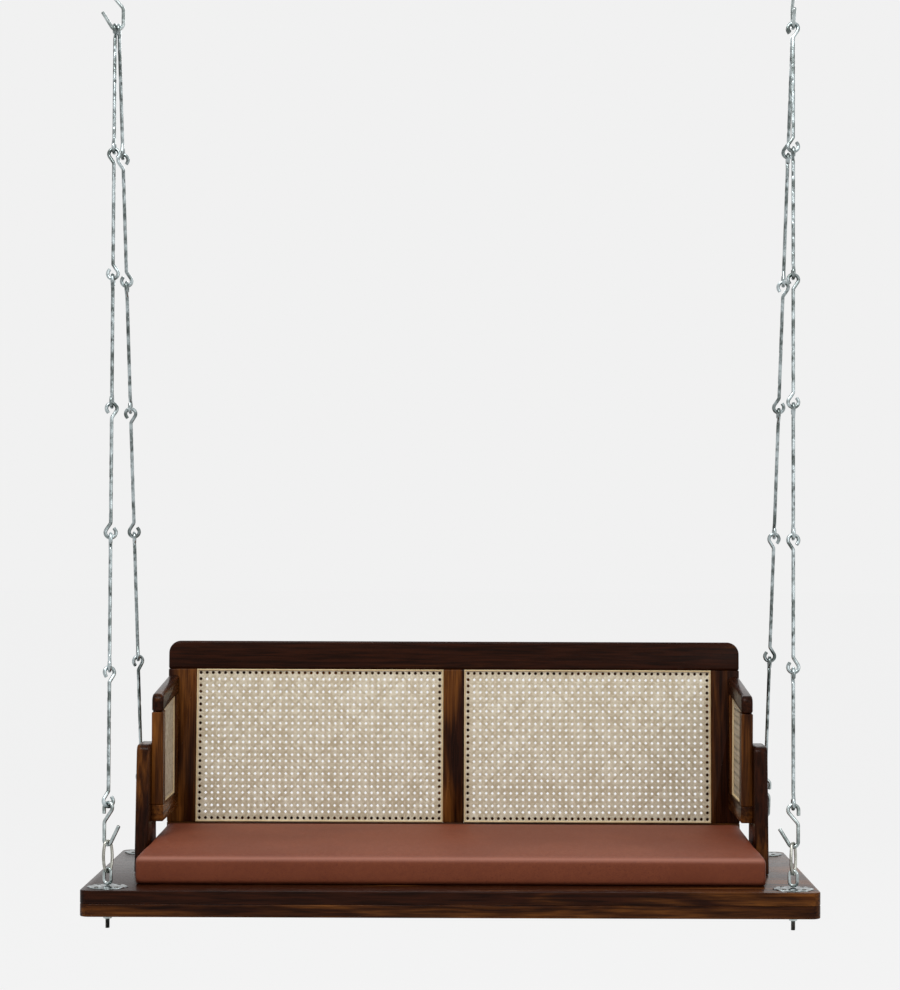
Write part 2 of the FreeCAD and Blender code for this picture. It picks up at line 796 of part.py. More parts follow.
DOWN = Vector(0, 0, -1)
swing_height = -num["swing_drop"]
seat_step = (num["ceiling_wire"] + num["rod_wire"]) / 2 + num["seat_gap"]
hang_across = num["hang_spread"] / 2
ceiling_bow_low = {"left": swing_height - seat_step, "right": swing_height}
ceiling_turn = {"left": 90, "right": 0}
hook_turn = {"left": 0, "right": 90}
bow_centre = {}
for side_name, side in SIDES.items():
    centre = ceiling_bow_low[side_name] + num["ceiling_bow"]
    stud_low = -2 * num["cover_thickness"]
    stud_top = num["stud_length"] + ceiling_bow_low[side_name] - ceiling_bow_low["left"]
    hook_line = looped_end(
        num["ceiling_bow"],
        num["ceiling_neck"],
        num["ceiling_neck_bend"],
        num["ceiling_tip"],
        stud_low - centre,
    )
    hook_shape = bar_along(hook_line, num["ceiling_wire"] / 2, HOOK_SIDES)
    stud = Part.makeCylinder(num["ceiling_wire"] / 2, stud_top - stud_low)
    stud.translate(hook_line[-1])
    hang(
        f"{side_name}_ceiling_hook",
        hook_shape.fuse(stud).Solids[0],
        Vector(side * hang_across, 0, centre),
        DOWN,
        ceiling_turn[side_name],
    )
    loop_centre = ceiling_bow_low[side_name] + seat_step - num["hook_loop"]
    hang(
        f"{side_name}_top_s_hook",
        s_hook_shape(num["hook_top_bow"]),
        Vector(side * hang_across, 0, loop_centre),
        DOWN,
        hook_turn[side_name],
    )
    bow_centre[side_name] = Vector(side * hang_across, 0, loop_centre - num["hook_centres"])

covers = []
for side in SIDES.values():
    disc = Part.makeCylinder(num["cover_diameter"] / 2, num["cover_thickness"])
    bore_radius = num["ceiling_wire"] / 2 + num["cover_gap"]
    bore = Part.makeCylinder(bore_radius, num["cover_thickness"] + num["cut_overrun"])
    disc = disc.cut(bore)
    disc.translate(Vector(side * hang_across, 0, -num["cover_thickness"]))
    covers.append(disc)
grouped("ceiling_cover_plates", covers)


# Chains: from each eye bolt up, an oval ring, an S hook and six rods, all in line. The front and rear rods
# of a side share that side's top S hook, next to each other in its bow

eye_top = base_top.value + num["plate_thickness"] + num["seat_gap"] + num["eye_height"] - num["eye_wire"] / 2
pair_offset = (num["rod_wire"] + num["seat_gap"]) / 2
rod_step = num["rod_wire"] + num["seat_gap"]
seat_radius = num["hook_top_bow"] - rod_step
pair_drop = math.sqrt(seat_radius**2 - pair_offset**2)
ring_half = (num["ring_length"] - num["ring_wire"]) / 2
eye_step = (num["eye_wire"] + num["ring_wire"]) / 2 + num["seat_gap"]
ring_step = (num["ring_wire"] + num["rod_wire"]) / 2 + num["seat_gap"]
rod_turns = {"left": (90, 180, 270, 10, 100, 34), "right": (0, 90, 0, 270, 180, 90)}
low_hook_turn = {"left": 148, "right": 0}
ring_turn = {"left": 58, "right": 64}
pair_line = {"left": Vector(1, 0, 0), "right": Vector(0, 1, 0)}

for side_name, side in SIDES.items():
    rings = []
    low_hooks = []
    for end_name, end in ENDS.items():
        chain = f"{side_name}_{end_name}"
        beside = pair_line[side_name] * (pair_offset * end)
        top_seat = bow_centre[side_name] + beside - Vector(0, 0, pair_drop)
        eye_seat = Vector(side * eye_across.value, base_middle.value + end * eye_along.value, eye_top)
        down = eye_seat - top_seat
        length = down.Length
        down.normalize()

        ring_centre = eye_seat + down * (eye_step - ring_half)
        ring = oval_ring_shape()
        ring.Placement = aimed(ring_centre, down, ring_turn[side_name])
        rings.append(ring)

        hook_bow_low = ring_centre - down * (ring_half - ring_step)
        hook_loop_centre = hook_bow_low - down * (num["hook_bow"] + num["hook_centres"])
        low_hook = s_hook_shape(num["hook_bow"])
        low_hook.Placement = aimed(hook_loop_centre, down, low_hook_turn[side_name])
        low_hooks.append(low_hook)

        low_seat = hook_loop_centre - down * (num["hook_loop"] - rod_step)
        joint = 2 * num["rod_loop"] - rod_step
        run = (low_seat - top_seat).Length
        centres = (run - (RODS_PER_CHAIN - 1) * joint - 2 * num["rod_loop"]) / RODS_PER_CHAIN
        rod = rod_shape(centres)
        print(f"{chain} rods: {centres:.2f} between loop centres, pitch {centres + joint:.2f}")
        for number in range(RODS_PER_CHAIN):
            middle = num["rod_loop"] + centres / 2 + number * (centres + joint)
            turn = rod_turns[side_name][number]
            hang(f"{chain}_rod_{number + 1}", rod, top_seat + down * middle, down, turn)
    grouped(f"{side_name}_rings", rings)
    grouped(f"{side_name}_low_s_hooks", low_hooks)


# Eye bolts, with their scalloped plates on the base and their washers and nuts under it

def at_eyes(name, solid_at):
    """One sub-part of four solids, one at each eye bolt."""
    return grouped(name, [solid_at(x, y) for x, y in eye_spots])


def moved(shape, x, y, z, turn=0):
    copy = shape.copy()
    copy.rotate(Vector(), Vector(0, 0, 1), turn)
    copy.translate(Vector(x, y, z))
    return copy


eye_radius = (num["eye_width"] - num["eye_wire"]) / 2
eye_leg = num["eye_height"] - num["eye_width"]
eye_low = -(eye_leg / 2 + eye_radius)
eye_steps = [eye_leg, (eye_radius, 180), eye_leg, (eye_radius, 180)]
eye_line = bent_path(Vector(-eye_radius, 0, -eye_leg / 2), Vector(0, 0, 1), eye_steps)
eye_loop = bar_along(eye_line[1:-1], num["eye_wire"] / 2, HOOK_SIDES, closed=True)
eye_centre = eye_top - eye_radius - eye_leg / 2
tail_low = skirt_low.value - num["bolt_tail"]
shank_length = eye_centre + eye_low - tail_low
shank = Part.makeCylinder(num["bolt_diameter"] / 2, shank_length)
shank.translate(Vector(0, 0, eye_low - shank_length))
eye_bolt = eye_loop.fuse(shank).Solids[0]
at_eyes("eye_bolts", lambda x, y: moved(eye_bolt, x, y, eye_centre, num["eye_turn"]))

# The plate's rim waves in and out: its radius follows the cosine of the angle round it, times the number of lobes
plate_rim = []
for step in range(PLATE_LOBES * POINTS_PER_LOBE + 1):
    angle = 2 * math.pi * step / (PLATE_LOBES * POINTS_PER_LOBE)
    reach = num["plate_diameter"] / 2 - num["plate_wave"] * (1 - math.cos(PLATE_LOBES * angle)) / 2
    plate_rim.append(Vector(reach * math.cos(angle), reach * math.sin(angle), 0))
eye_plate = Part.Face(Part.makePolygon(plate_rim)).extrude(Vector(0, 0, num["plate_thickness"]))
eye_plate = eye_plate.cut(Part.makeCylinder(bolt_hole.value, num["plate_thickness"]))
at_eyes("eye_plates", lambda x, y: moved(eye_plate, x, y, base_top.value))

washer = Part.makeCylinder(num["washer_diameter"] / 2, num["washer_thickness"])
washer = washer.cut(Part.makeCylinder(bolt_hole.value, num["washer_thickness"]))
washer_low = skirt_low.value - num["washer_thickness"]
at_eyes("eye_washers", lambda x, y: moved(washer, x, y, washer_low))

nut_corner = num["nut_width"] / math.sqrt(3)
nut_points = [
    Vector(nut_corner * math.cos(math.radians(60 * k)), nut_corner * math.sin(math.radians(60 * k)), 0)
    for k in range(7)
]
nut = Part.Face(Part.makePolygon(nut_points)).extrude(Vector(0, 0, num["nut_height"]))
nut = nut.cut(Part.makeCylinder(bolt_hole.value, num["nut_height"]))
at_eyes("eye_nuts", lambda x, y: moved(nut, x, y, washer_low - num["nut_height"]))


# Check and write

doc.recompute()
for thing in doc.Objects:
    if "Invalid" in thing.State or "Error" in thing.State:
        raise RuntimeError(f"{thing.Label} failed to build: {thing.State}")
os.makedirs("parts", exist_ok=True)
for thing in exported:
    shape = thing.Shape
    if shape.isNull() or not shape.isValid():
        raise RuntimeError(f"{thing.Label} has no valid shape")
    shape.exportStep(f"parts/{thing.Label}.step")
print(f"{len(exported)} sub-parts written")
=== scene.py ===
# %% [markdown]
# # A cane-backed swing bench on rod chains
# The real object is a wooden bench with woven cane in its back and arms and one flat cushion. It hangs from
# two ceiling hooks on four chains, each made of six bent rods. The measured model gives the size and place of
# every piece. This notebook gives each piece the surface that a maker's hands and tools leave on it.

# %% Load the measured model
import bmesh
import bpy
import json
import math
import numpy as np
from mathutils.geometry import convex_hull_2d
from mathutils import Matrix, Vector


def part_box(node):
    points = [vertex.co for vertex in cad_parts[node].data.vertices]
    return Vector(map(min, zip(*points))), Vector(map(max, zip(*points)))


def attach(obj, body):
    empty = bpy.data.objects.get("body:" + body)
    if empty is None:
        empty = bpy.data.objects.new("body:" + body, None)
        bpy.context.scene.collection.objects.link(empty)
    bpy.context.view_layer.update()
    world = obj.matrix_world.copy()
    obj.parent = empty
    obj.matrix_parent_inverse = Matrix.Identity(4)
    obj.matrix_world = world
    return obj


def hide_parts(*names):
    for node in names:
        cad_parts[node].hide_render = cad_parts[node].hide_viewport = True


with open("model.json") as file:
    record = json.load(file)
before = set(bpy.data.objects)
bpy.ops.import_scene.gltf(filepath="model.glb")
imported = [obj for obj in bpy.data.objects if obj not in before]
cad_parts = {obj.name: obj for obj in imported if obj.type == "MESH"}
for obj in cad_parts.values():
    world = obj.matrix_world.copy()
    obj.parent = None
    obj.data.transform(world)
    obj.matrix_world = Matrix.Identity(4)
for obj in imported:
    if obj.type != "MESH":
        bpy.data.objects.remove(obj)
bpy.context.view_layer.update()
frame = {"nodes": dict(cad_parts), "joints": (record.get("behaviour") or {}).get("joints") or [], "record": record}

MM = 0.001

# %% [markdown]
# ## Meshes from arrays
# Blender can take a whole array of points at once, which is far quicker than adding vertices one by one.
# Nearly every piece here is a grid: rows along a line, columns round it. One helper turns such a grid into a
# mesh, and another dresses the mesh, seats it on its body and hides the measured nodes that it stands for.

# %% Grid to mesh, mesh to piece
def quad_mesh(name, points, quads, caps=()):
    """A mesh of four-sided faces, and of any number of many-sided caps, from index arrays."""
    mesh = bpy.data.meshes.new(name)
    corners = np.concatenate([np.ravel(quads), *caps]).astype(np.int32)
    totals = np.array([4] * len(quads) + [len(cap) for cap in caps], np.int32)
    starts = np.concatenate([[0], np.cumsum(totals)[:-1]]).astype(np.int32)
    mesh.vertices.add(len(points))
    mesh.vertices.foreach_set("co", np.asarray(points, np.float32).ravel())
    mesh.loops.add(len(corners))
    mesh.loops.foreach_set("vertex_index", corners)
    mesh.polygons.add(len(totals))
    mesh.polygons.foreach_set("loop_start", starts)
    mesh.update(calc_edges=True)
    mesh.validate()
    return mesh


def grid_quads(rows, columns, loop_rows=False):
    """Corners of each cell of a grid whose columns run round it, and its rows too if asked."""
    row = np.arange(rows if loop_rows else rows - 1)[:, None]
    column = np.arange(columns)[None, :]
    here, below = row * columns, (row + 1) % rows * columns
    beside = (column + 1) % columns
    cells = [here + column, here + beside, below + beside, below + column]
    return np.stack(np.broadcast_arrays(*cells), axis=-1).reshape(-1, 4)


def grid_mesh(name, grid, loop_rows=False):
    """A closed skin over a grid whose columns run round it. Flat caps close its first and last row."""
    rows, columns, _ = grid.shape
    first, last = np.arange(columns), np.arange(columns) + (rows - 1) * columns
    caps = [] if loop_rows else [first[::-1], last]
    return quad_mesh(name, grid.reshape(-1, 3), grid_quads(rows, columns, loop_rows), caps)


def mesh_points(mesh):
    """Every vertex of a mesh, as an array."""
    points = np.empty(len(mesh.vertices) * 3)
    mesh.vertices.foreach_get("co", points)
    return points.reshape(-1, 3)


def set_points(mesh, points):
    """Moves every vertex of a mesh."""
    mesh.vertices.foreach_set("co", points.astype(np.float32).ravel())
    mesh.update()


def turn_outwards(mesh):
    """Points every face of a closed mesh outwards."""
    edit = bmesh.new()
    edit.from_mesh(mesh)
    bmesh.ops.recalc_face_normals(edit, faces=edit.faces)
    edit.to_mesh(mesh)
    edit.free()


def dress(name, mesh, finish, body, nodes=(), crease=40):
    """A finished piece made of a mesh: its finish, smooth faces, creases, and the body that it rides on."""
    turn_outwards(mesh)
    piece = bpy.data.objects.new(name, mesh)
    bpy.context.scene.collection.objects.link(piece)
    mesh.materials.append(finish)
    mesh.shade_smooth()
    mesh.set_sharp_from_angle(angle=math.radians(crease))
    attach(piece, body)
    if nodes:
        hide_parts(*nodes)
    return piece


def joined(name, meshes):
    """Several meshes as one, each kept whole."""
    edit = bmesh.new()
    for mesh in meshes:
        edit.from_mesh(mesh)
        bpy.data.meshes.remove(mesh)
    whole = bpy.data.meshes.new(name)
    edit.to_mesh(whole)
    edit.free()
    return whole


def paint_points(mesh, name, values):
    """Stores one number per vertex, which a finish can read by name."""
    amounts = np.broadcast_to(np.asarray(values, np.float32).ravel(), len(mesh.vertices))
    mesh.attributes.new(name, "FLOAT", "POINT").data.foreach_set("value", np.ascontiguousarray(amounts))
    return mesh


def node_points(node):
    """Every vertex of a measured node, as an array."""
    return mesh_points(frame["nodes"][node].data)


def unit(vector):
    """The same direction with a length of 1."""
    return np.asarray(vector, float) / np.linalg.norm(vector)


def ring_angles(sides):
    """Angles of evenly spaced points round a circle."""
    return 2 * np.pi * np.arange(sides) / sides


# %% [markdown]
# ## Finishes as sums
# A shader is arithmetic on patterns. Wiring dozens of Math nodes by hand hides that, so a small class wraps a
# socket and lets Python's own signs add the nodes. One method adds every other kind of node.

# %% Shader arithmetic
class Amount:
    """A number that varies over a surface. Its arithmetic adds Math nodes."""

    def __init__(self, finish, socket):
        self.finish = finish
        self.socket = socket

    def sum(self, operation, *others):
        """One Math node on this amount and the others."""
        values = dict(enumerate((self, *others)))
        return self.finish.add("ShaderNodeMath", values, operation=operation)

    def __add__(self, other):
        return self.sum("ADD", other)

    __radd__ = __add__

    def __mul__(self, other):
        return self.sum("MULTIPLY", other)

    __rmul__ = __mul__

    def __sub__(self, other):
        return self.sum("SUBTRACT", other)

    def __rsub__(self, other):
        return self.finish.add("ShaderNodeMath", {0: other, 1: self}, operation="SUBTRACT")

    def ramp(self, low, high):
        """0 up to low, 1 from high on, and a smooth rise between them."""
        values = {"Value": self, "From Min": low, "From Max": high}
        return self.finish.add("ShaderNodeMapRange", values, interpolation_type="SMOOTHSTEP")


class Finish:
    """A material and the nodes in it."""

    def __init__(self, name):
        self.material = bpy.data.materials.new(name)
        self.material.use_nodes = True
        self.tree = self.material.node_tree
        self.tree.nodes.clear()

    def add(self, kind, values=None, output=0, **settings):
        """One node: its settings first, then its sockets' values or links. Gives one of its outputs."""
        node = self.tree.nodes.new(kind)
        for name, setting in settings.items():
            setattr(node, name, setting)
        for name, value in (values or {}).items():
            if isinstance(value, Amount):
                self.tree.links.new(value.socket, node.inputs[name])
            else:
                node.inputs[name].default_value = value
        return Amount(self, node.outputs[output]) if node.outputs else None

    def place(self, attribute=None, scale=(1, 1, 1)):
        """Coordinates of a point: the object's own, or those that a mesh attribute carries, times a scale."""
        if attribute:
            source = self.add("ShaderNodeAttribute", output="Vector", attribute_name=attribute)
        else:
            source = self.add("ShaderNodeTexCoord", output="Object")
        return self.add("ShaderNodeMapping", {"Vector": source, "Scale": scale})

    def carried(self, attribute):
        """A number that the mesh carries from vertex to vertex under a name."""
        return self.add("ShaderNodeAttribute", output="Fac", attribute_name=attribute)

    def noise(self, place, scale, detail, roughness=0.5, distortion=0.0):
        """Cloudy noise: cells per unit of place, layers of finer noise, their share, and their swirl."""
        values = {"Vector": place, "Scale": scale, "Detail": detail}
        values |= {"Roughness": roughness, "Distortion": distortion}
        return self.add("ShaderNodeTexNoise", values)

    def mix(self, share, low, high):
        """Two colours mixed by a share."""
        values = {0: share, 6: colour(low), 7: colour(high)}
        return self.add("ShaderNodeMix", values, output=2, data_type="RGBA")

    def bump(self, height, distance, strength):
        """Relief from a height between 0 and 1 that stands for a distance in metres."""
        return self.add("ShaderNodeBump", {"Height": height, "Distance": distance, "Strength": strength})

    def surface(self, **values):
        """The finish itself, as the last node. Underscores in a socket's name stand for spaces."""
        named = {name.replace("_", " "): value for name, value in values.items()}
        shader = self.add("ShaderNodeBsdfPrincipled", {name: colour(value) for name, value in named.items()})
        self.add("ShaderNodeOutputMaterial", {"Surface": shader})
        return self.material


def colour(value):
    """A colour as a socket wants it. Links and plain numbers pass through."""
    return (*value, 1.0) if isinstance(value, tuple) and len(value) == 3 else value


def paint(red, green, blue):
    """A colour given as it looks on a screen, 0 to 255, in the linear light that shaders work in."""
    shares = np.array([red, green, blue]) / 255
    linear = np.where(shares <= 0.04045, shares / 12.92, ((shares + 0.055) / 1.055) ** 2.4)
    return tuple(linear.tolist())


# %% [markdown]
# ## Lacquered hardwood
# The wood is a dark reddish-brown sheesham with paler sapwood streaks, under glossy lacquer. Each board has
# its own grain, so a board's vertices carry their place in the board itself: along the grain, across it, and
# through it, moved on by a different amount for every board. A stretched noise on those coordinates gives
# long streaks on the faces and small spots on the ends, as in a real board. A second attribute, the tone,
# widens or narrows the pale streaks from board to board.

# %% Wood finish
def wood_finish():
    """Dark wood and pale streaks mixed by stretched noise, with dark open pores, under lacquer."""
    finish = Finish("lacquered_sheesham")
    bands = finish.noise(finish.place("board", (1.1, 9, 9)), scale=1.5, detail=3, distortion=1.4)
    grain_place = finish.place("board", (9, 190, 190))
    grain = finish.noise(grain_place, scale=1.0, detail=5, roughness=0.6, distortion=0.4)
    pores = finish.noise(finish.place("board", (28, 900, 900)), scale=1.0, detail=2)
    streak = (bands + grain * 0.14 + finish.carried("tone") * 0.3).ramp(0.55, 0.86)
    dark = finish.mix(grain.ramp(0.3, 0.7), paint(22, 7, 2), paint(48, 21, 9))
    light = finish.mix(grain.ramp(0.3, 0.75), paint(84, 44, 16), paint(128, 78, 32))
    open_pores = pores.ramp(0.6, 0.7)
    shade = finish.mix(open_pores * 0.5, finish.mix(streak, dark, light), paint(24, 11, 8))
    dullness = 0.2 + bands * 0.06 + open_pores * 0.12
    relief = finish.bump(grain * 0.6 - pores.ramp(0.58, 0.7), distance=0.12 * MM, strength=0.5)
    return finish.surface(Base_Color=shade, Roughness=dullness, Normal=relief, Specular_IOR_Level=0.06)


sheesham = wood_finish()

# %% [markdown]
# ## Zinc-plated steel, cane and leatherette
# Bright zinc is a pale blue-grey metal with faint cloudy patches. On the rods and the eye plates the deep and
# the pale patches lie further apart: painted reflections of a darker and a brighter room. The screws and the
# bolt tails are painted dark, as painted shade. A number on the mesh paints shade into the plates' grooves and
# a dark reflection onto the rods' flats. Cane is the skin of a palm: cream, glossy on its outer face, no two
# strands alike, so each strand carries its own shade number. Leatherette is a soft plastic with a pressed grain
# of small pebbles that catch the light, with painted shade in the grooves between them. A paler band along the
# cushion's front top edge is a painted highlight.

# %% Metal, cane and cover finishes
def zinc_finish(name, deep, pale):
    """Metal between a deep and a pale grey in cloudy patches, with fine specks and painted shade."""
    finish = Finish(name)
    place = finish.place()
    clouds = finish.noise(place, scale=55, detail=3, roughness=0.55)
    specks = finish.noise(place, scale=900, detail=2)
    shade = finish.mix(clouds.ramp(0.34, 0.66), paint(*deep), paint(*pale))
    shade = finish.mix(specks.ramp(0.55, 0.8) * 0.4, shade, paint(60, 62, 58))
    # The carried number paints the metal darker: painted shade in the plates' grooves and a painted dark
    # reflection on the rods' flats.
    shade = finish.mix(finish.carried("mark") * 0.7, shade, paint(44, 48, 46))
    dullness = 0.15 + clouds * 0.16
    relief = finish.bump(clouds + specks * 0.3, distance=0.4 * MM, strength=0.5)
    return finish.surface(Base_Color=shade, Roughness=dullness, Metallic=1.0, Normal=relief)


def cane_finish(name, pale, deep):
    """Cane between two creams, by the strand's own shade plus soft patches, with fine fibres on it."""
    finish = Finish(name)
    place = finish.place()
    patches = finish.noise(place, scale=38, detail=3, roughness=0.6)
    fibres = finish.noise(place, scale=700, detail=3, roughness=0.6)
    age = (finish.carried("strand") * 0.45 + patches * 0.75).ramp(0.25, 0.95)
    shade = finish.mix(age, paint(*pale), paint(*deep))
    shade = finish.mix(fibres.ramp(0.5, 0.75) * 0.35, shade, paint(150, 118, 74))
    dullness = 0.42 + fibres * 0.2
    relief = finish.bump(fibres, distance=0.1 * MM, strength=0.4)
    return finish.surface(Base_Color=shade, Roughness=dullness, Normal=relief, Specular_IOR_Level=0.45)


def cover_finish():
    """Brown plastic with painted shade between its pebbles and a painted highlight on the front top edge."""
    finish = Finish("brown_leatherette")
    place = finish.place()
    values = {"Vector": place, "Scale": 620.0, "Randomness": 1.0}
    pebbles = finish.add("ShaderNodeTexVoronoi", values, feature="DISTANCE_TO_EDGE")
    clouds = finish.noise(place, scale=5, detail=3)
    mottle = finish.noise(place, scale=120, detail=3, roughness=0.6)
    shade = finish.mix(clouds.ramp(0.35, 0.65), paint(120, 61, 38), paint(133, 71, 46))
    shade = finish.mix(mottle.ramp(0.35, 0.75) * 0.25, shade, paint(104, 52, 38))
    # The grooves between the pebbles are painted darker: painted shade.
    shade = finish.mix(1 - pebbles.ramp(0.0, 0.12), shade, paint(92, 46, 34))
    # Along the cushion's front top edge the colour is paler: a painted highlight.
    shade = finish.mix(finish.carried("stretch") * 0.85, shade, paint(186, 134, 118))
    dullness = 0.5 + mottle * 0.12
    relief = finish.bump(pebbles.ramp(0.0, 0.22) + mottle * 0.3, distance=0.16 * MM, strength=0.6)
    return finish.surface(Base_Color=shade, Roughness=dullness, Normal=relief, Specular_IOR_Level=0.14)


zinc = zinc_finish("bright_zinc", (118, 126, 124), (190, 199, 199))
# On the rods and the eye plates the deep and pale patches lie further apart: painted reflections of a darker and a
# brighter room.
painted_reflection_zinc = zinc_finish("worn_zinc", (90, 98, 96), (182, 192, 194))
ring_steel = zinc_finish("polished_ring_steel", (140, 140, 132), (178, 178, 170))
# Dark steel for the screws and the bolt tails: their darkness is painted shade, in the screw recesses and under
# the seat.
painted_shade_steel = zinc_finish("dull_screw_steel", (38, 38, 36), (92, 92, 88))
cane_skin = cane_finish("woven_cane", (222, 213, 192), (186, 171, 143))
reed_skin = cane_finish("cane_bead", (224, 204, 162), (194, 168, 124))
leatherette = cover_finish()
print(len(bpy.data.materials), "finishes so far")

# %% [markdown]
# ## Bent wire
# Rods, S hooks, rings and ceiling hooks are all wire bent in one plane, on a jig with a few pins. So each is
# one line: straight lengths and round bends. Complex numbers hold the plane, because multiplying by a unit
# complex number turns a heading. The line becomes wire when a circle is set square to it at every point.

# %% The middle line of a bent wire
BEND_DEGREES = 9
STRAIGHT_STEP = 4 * MM


def wire_line(steps, start, heading=1j, spacing=STRAIGHT_STEP):
    """Points of a bent line as complex numbers: x + iz.

    A step is a straight length, or a bend as (radius, degrees). Along a bend each point is the bend's centre
    plus the first radius turned by its share of the angle. Positive degrees turn from +Z towards +X. Points
    are at most spacing apart on a length and BEND_DEGREES apart on a bend.
    """
    runs = [np.array([start])]
    for step in steps:
        here = runs[-1][-1]
        if isinstance(step, tuple):
            radius, degrees = step
            count = math.ceil(abs(degrees) / BEND_DEGREES)
            centre = here + heading * radius * (-1j if degrees > 0 else 1j)
            turns = np.exp(-1j * np.radians(degrees) * np.arange(1, count + 1) / count)
            runs.append(centre + (here - centre) * turns)
            heading = heading * turns[-1]
        else:
            count = math.ceil(step / spacing)
            runs.append(here + heading * step * np.arange(1, count + 1) / count)
    return np.concatenate(runs)


def looped_end(loop, neck, neck_bend, tip, shank, spacing=STRAIGHT_STEP):
    """A wire's end bent round one pin, with a neck that brings the shank over the middle of the loop.

    The wire leaves the loop's circle along a tangent that slants by neck degrees, and bends upright where
    that tangent meets the line over the circle's centre. It ends at a height of shank above the centre.
    """
    slope = math.radians(neck)
    trim = neck_bend * math.tan(slope / 2)
    outward = -1j * complex(math.cos(slope), -math.sin(slope))
    touch = complex(-loop * math.cos(slope), loop * math.sin(slope))
    side = loop / math.tan(slope) - trim
    rise = shank - loop / math.sin(slope) - trim
    steps = [tip, (loop, -(180 + 2 * neck)), side, (neck_bend, neck), rise]
    return wire_line(steps, touch - outward * tip, outward, spacing)


# %% [markdown]
# The bar of the real chain isn't a perfect cylinder. Rollers straightened it and left short flats, first on
# one side and then on the other, and they give the chain its broken highlights. A flat is a chord of the
# circle: the radius is limited to the chord's distance divided by the cosine of the angle from its middle.
# The sine of a flat's number, times a factor with no rhythm of its own, makes each flat a little different.

# %% Wire from a line
FLAT_RAMP = 1.5 * MM
FLAT_WANDER = 0.6
FLAT_SLANT_LEAST = 0.2
PAINTED_SHADE_SLANT = 0.8


def round_bar(name, line, radius, sides=16, closed=False, flats=None, chamfer=0.0):
    """A circle square to a flat line at each point: x and z across the line's plane, y out of it.

    flats, when given, is (depth, pitch, length, first, last): pressed chords, on alternate sides, between two
    distances along the line. chamfer narrows both ends.
    """
    ahead, behind = (np.roll(line, -1), np.roll(line, 1)) if closed else (line[1:], line[:-1])
    heading = ahead - behind if closed else np.gradient(line)
    heading = heading / np.abs(heading)
    aside = heading * -1j
    angle = ring_angles(sides)
    reach = np.full((len(line), sides), radius)
    mark = np.zeros_like(reach)
    if flats:
        depth, pitch, length, first, last = flats
        run = np.concatenate([[0], np.cumsum(np.abs(np.diff(line)))])
        number = np.floor((run - first) / pitch)
        along = np.abs(run - first - (number + 0.5) * pitch)
        pressed = np.clip((length / 2 - along) / FLAT_RAMP, 0, 1) * ((run > first) & (run < last))
        faces = np.where(number % 2 == 0, 0.0, np.pi) + FLAT_WANDER * np.sin(number * 2.4)
        slant = np.cos(angle[None, :] - faces[:, None])
        chord = (radius - depth * pressed[:, None]) / np.maximum(slant, FLAT_SLANT_LEAST)
        reach = np.minimum(reach, chord)
        # Where a flat faces square on, the finish paints it darker: a painted dark reflection, stronger on some
        # flats.
        mark = (pressed * np.abs(np.sin(number * 1.7)))[:, None] * (slant > PAINTED_SHADE_SLANT)
    if chamfer:
        doubled = [0, *range(len(line)), len(line) - 1]
        line, aside, reach, mark = (rows[doubled] for rows in (line, aside, reach, mark))
        line[1] += heading[0] * chamfer
        line[-2] -= heading[-1] * chamfer
        reach[[0, -1]] = radius - chamfer
        reach[[1, -2]] = radius
    across = line[:, None] + aside[:, None] * reach * np.cos(angle)
    grid = np.stack([across.real, reach * np.sin(angle), across.imag], axis=-1)
    return paint_points(grid_mesh(name, grid, loop_rows=closed), "mark", mark)


def stand(mesh, origin, up, face):
    """Puts a wire's mesh in place: its z along up, its x along face, its middle at origin."""
    axes = np.array([face, np.cross(up, face), up])
    set_points(mesh, mesh_points(mesh) @ axes + origin)
    return mesh


def facing(points, line, origin, up):
    """Which way a wire's plane faces, read from the measured piece.

    Its plane is the widest direction across the line that it hangs on. Of the two ways to look along that
    direction, the one that brings the wire's middle line nearer to the measured points is right.
    """
    across = points - origin
    across = across - np.outer(across @ up, up)
    widest = unit(np.linalg.svd(across - across.mean(0))[2][0])
    widest = unit(widest - up * (widest @ up))
    misses = {}
    for sign in (1, -1):
        placed = origin + np.outer(line.real, widest * sign) + np.outer(line.imag, up)
        misses[sign] = np.linalg.norm(points[:, None] - placed[None], axis=2).min(1).mean()
    best = min(misses, key=misses.get)
    return widest * best, misses[best]


# %% [markdown]
# ## The four chains
# Each chain is a straight line under load: the middles of its six rods lie on it. Those middles are read from
# the measured rods, which gives the chain's direction and the pitch of its rods. What is left to say is how
# the wire is bent, in millimetres off the jig.

# %% Chains of rods
WIRE = 6.8 * MM
LOOP = 9.7 * MM
LOOP_NECK = 33
NECK_BEND = 6 * MM
LOOP_TIP = 4 * MM
SEAT_GAP = 0.3 * MM
CUT_CHAMFER = 0.6 * MM
FLAT_DEPTH = 0.55 * MM
FLAT_PITCH = 15 * MM
FLAT_LENGTH = 9 * MM
FLAT_STEP = 1.6 * MM
PLAIN_ENDS = 75 * MM
RODS = 6
ROD_SIDES = 14
JOINT = 2 * LOOP - WIRE - SEAT_GAP
CHAINS = [(side, end) for side in ("left", "right") for end in ("front", "rear")]


def chain_line(side, end):
    """Middles of a chain's rods from the top down, the direction up the chain, and the rods' pitch."""
    middles = []
    for number in range(1, RODS + 1):
        low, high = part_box(f"{side}_{end}_rod_{number}")
        middles.append((np.array(low) + np.array(high)) / 2)
    span = middles[0] - middles[-1]
    return middles, unit(span), np.linalg.norm(span) / (RODS - 1)


def rod_wire(between, shift):
    """One rod: a looped end, and the same end turned half round for the top. shift moves its flats along."""
    low = looped_end(LOOP, LOOP_NECK, NECK_BEND, LOOP_TIP, between / 2, FLAT_STEP) - 1j * between / 2
    line = np.concatenate([low[:-1], -low[::-1]])
    length = np.abs(np.diff(line)).sum()
    flats = (FLAT_DEPTH, FLAT_PITCH, FLAT_LENGTH, PLAIN_ENDS + shift, length - PLAIN_ENDS)
    return line, round_bar("rod", line, WIRE / 2, ROD_SIDES, flats=flats, chamfer=CUT_CHAMFER)


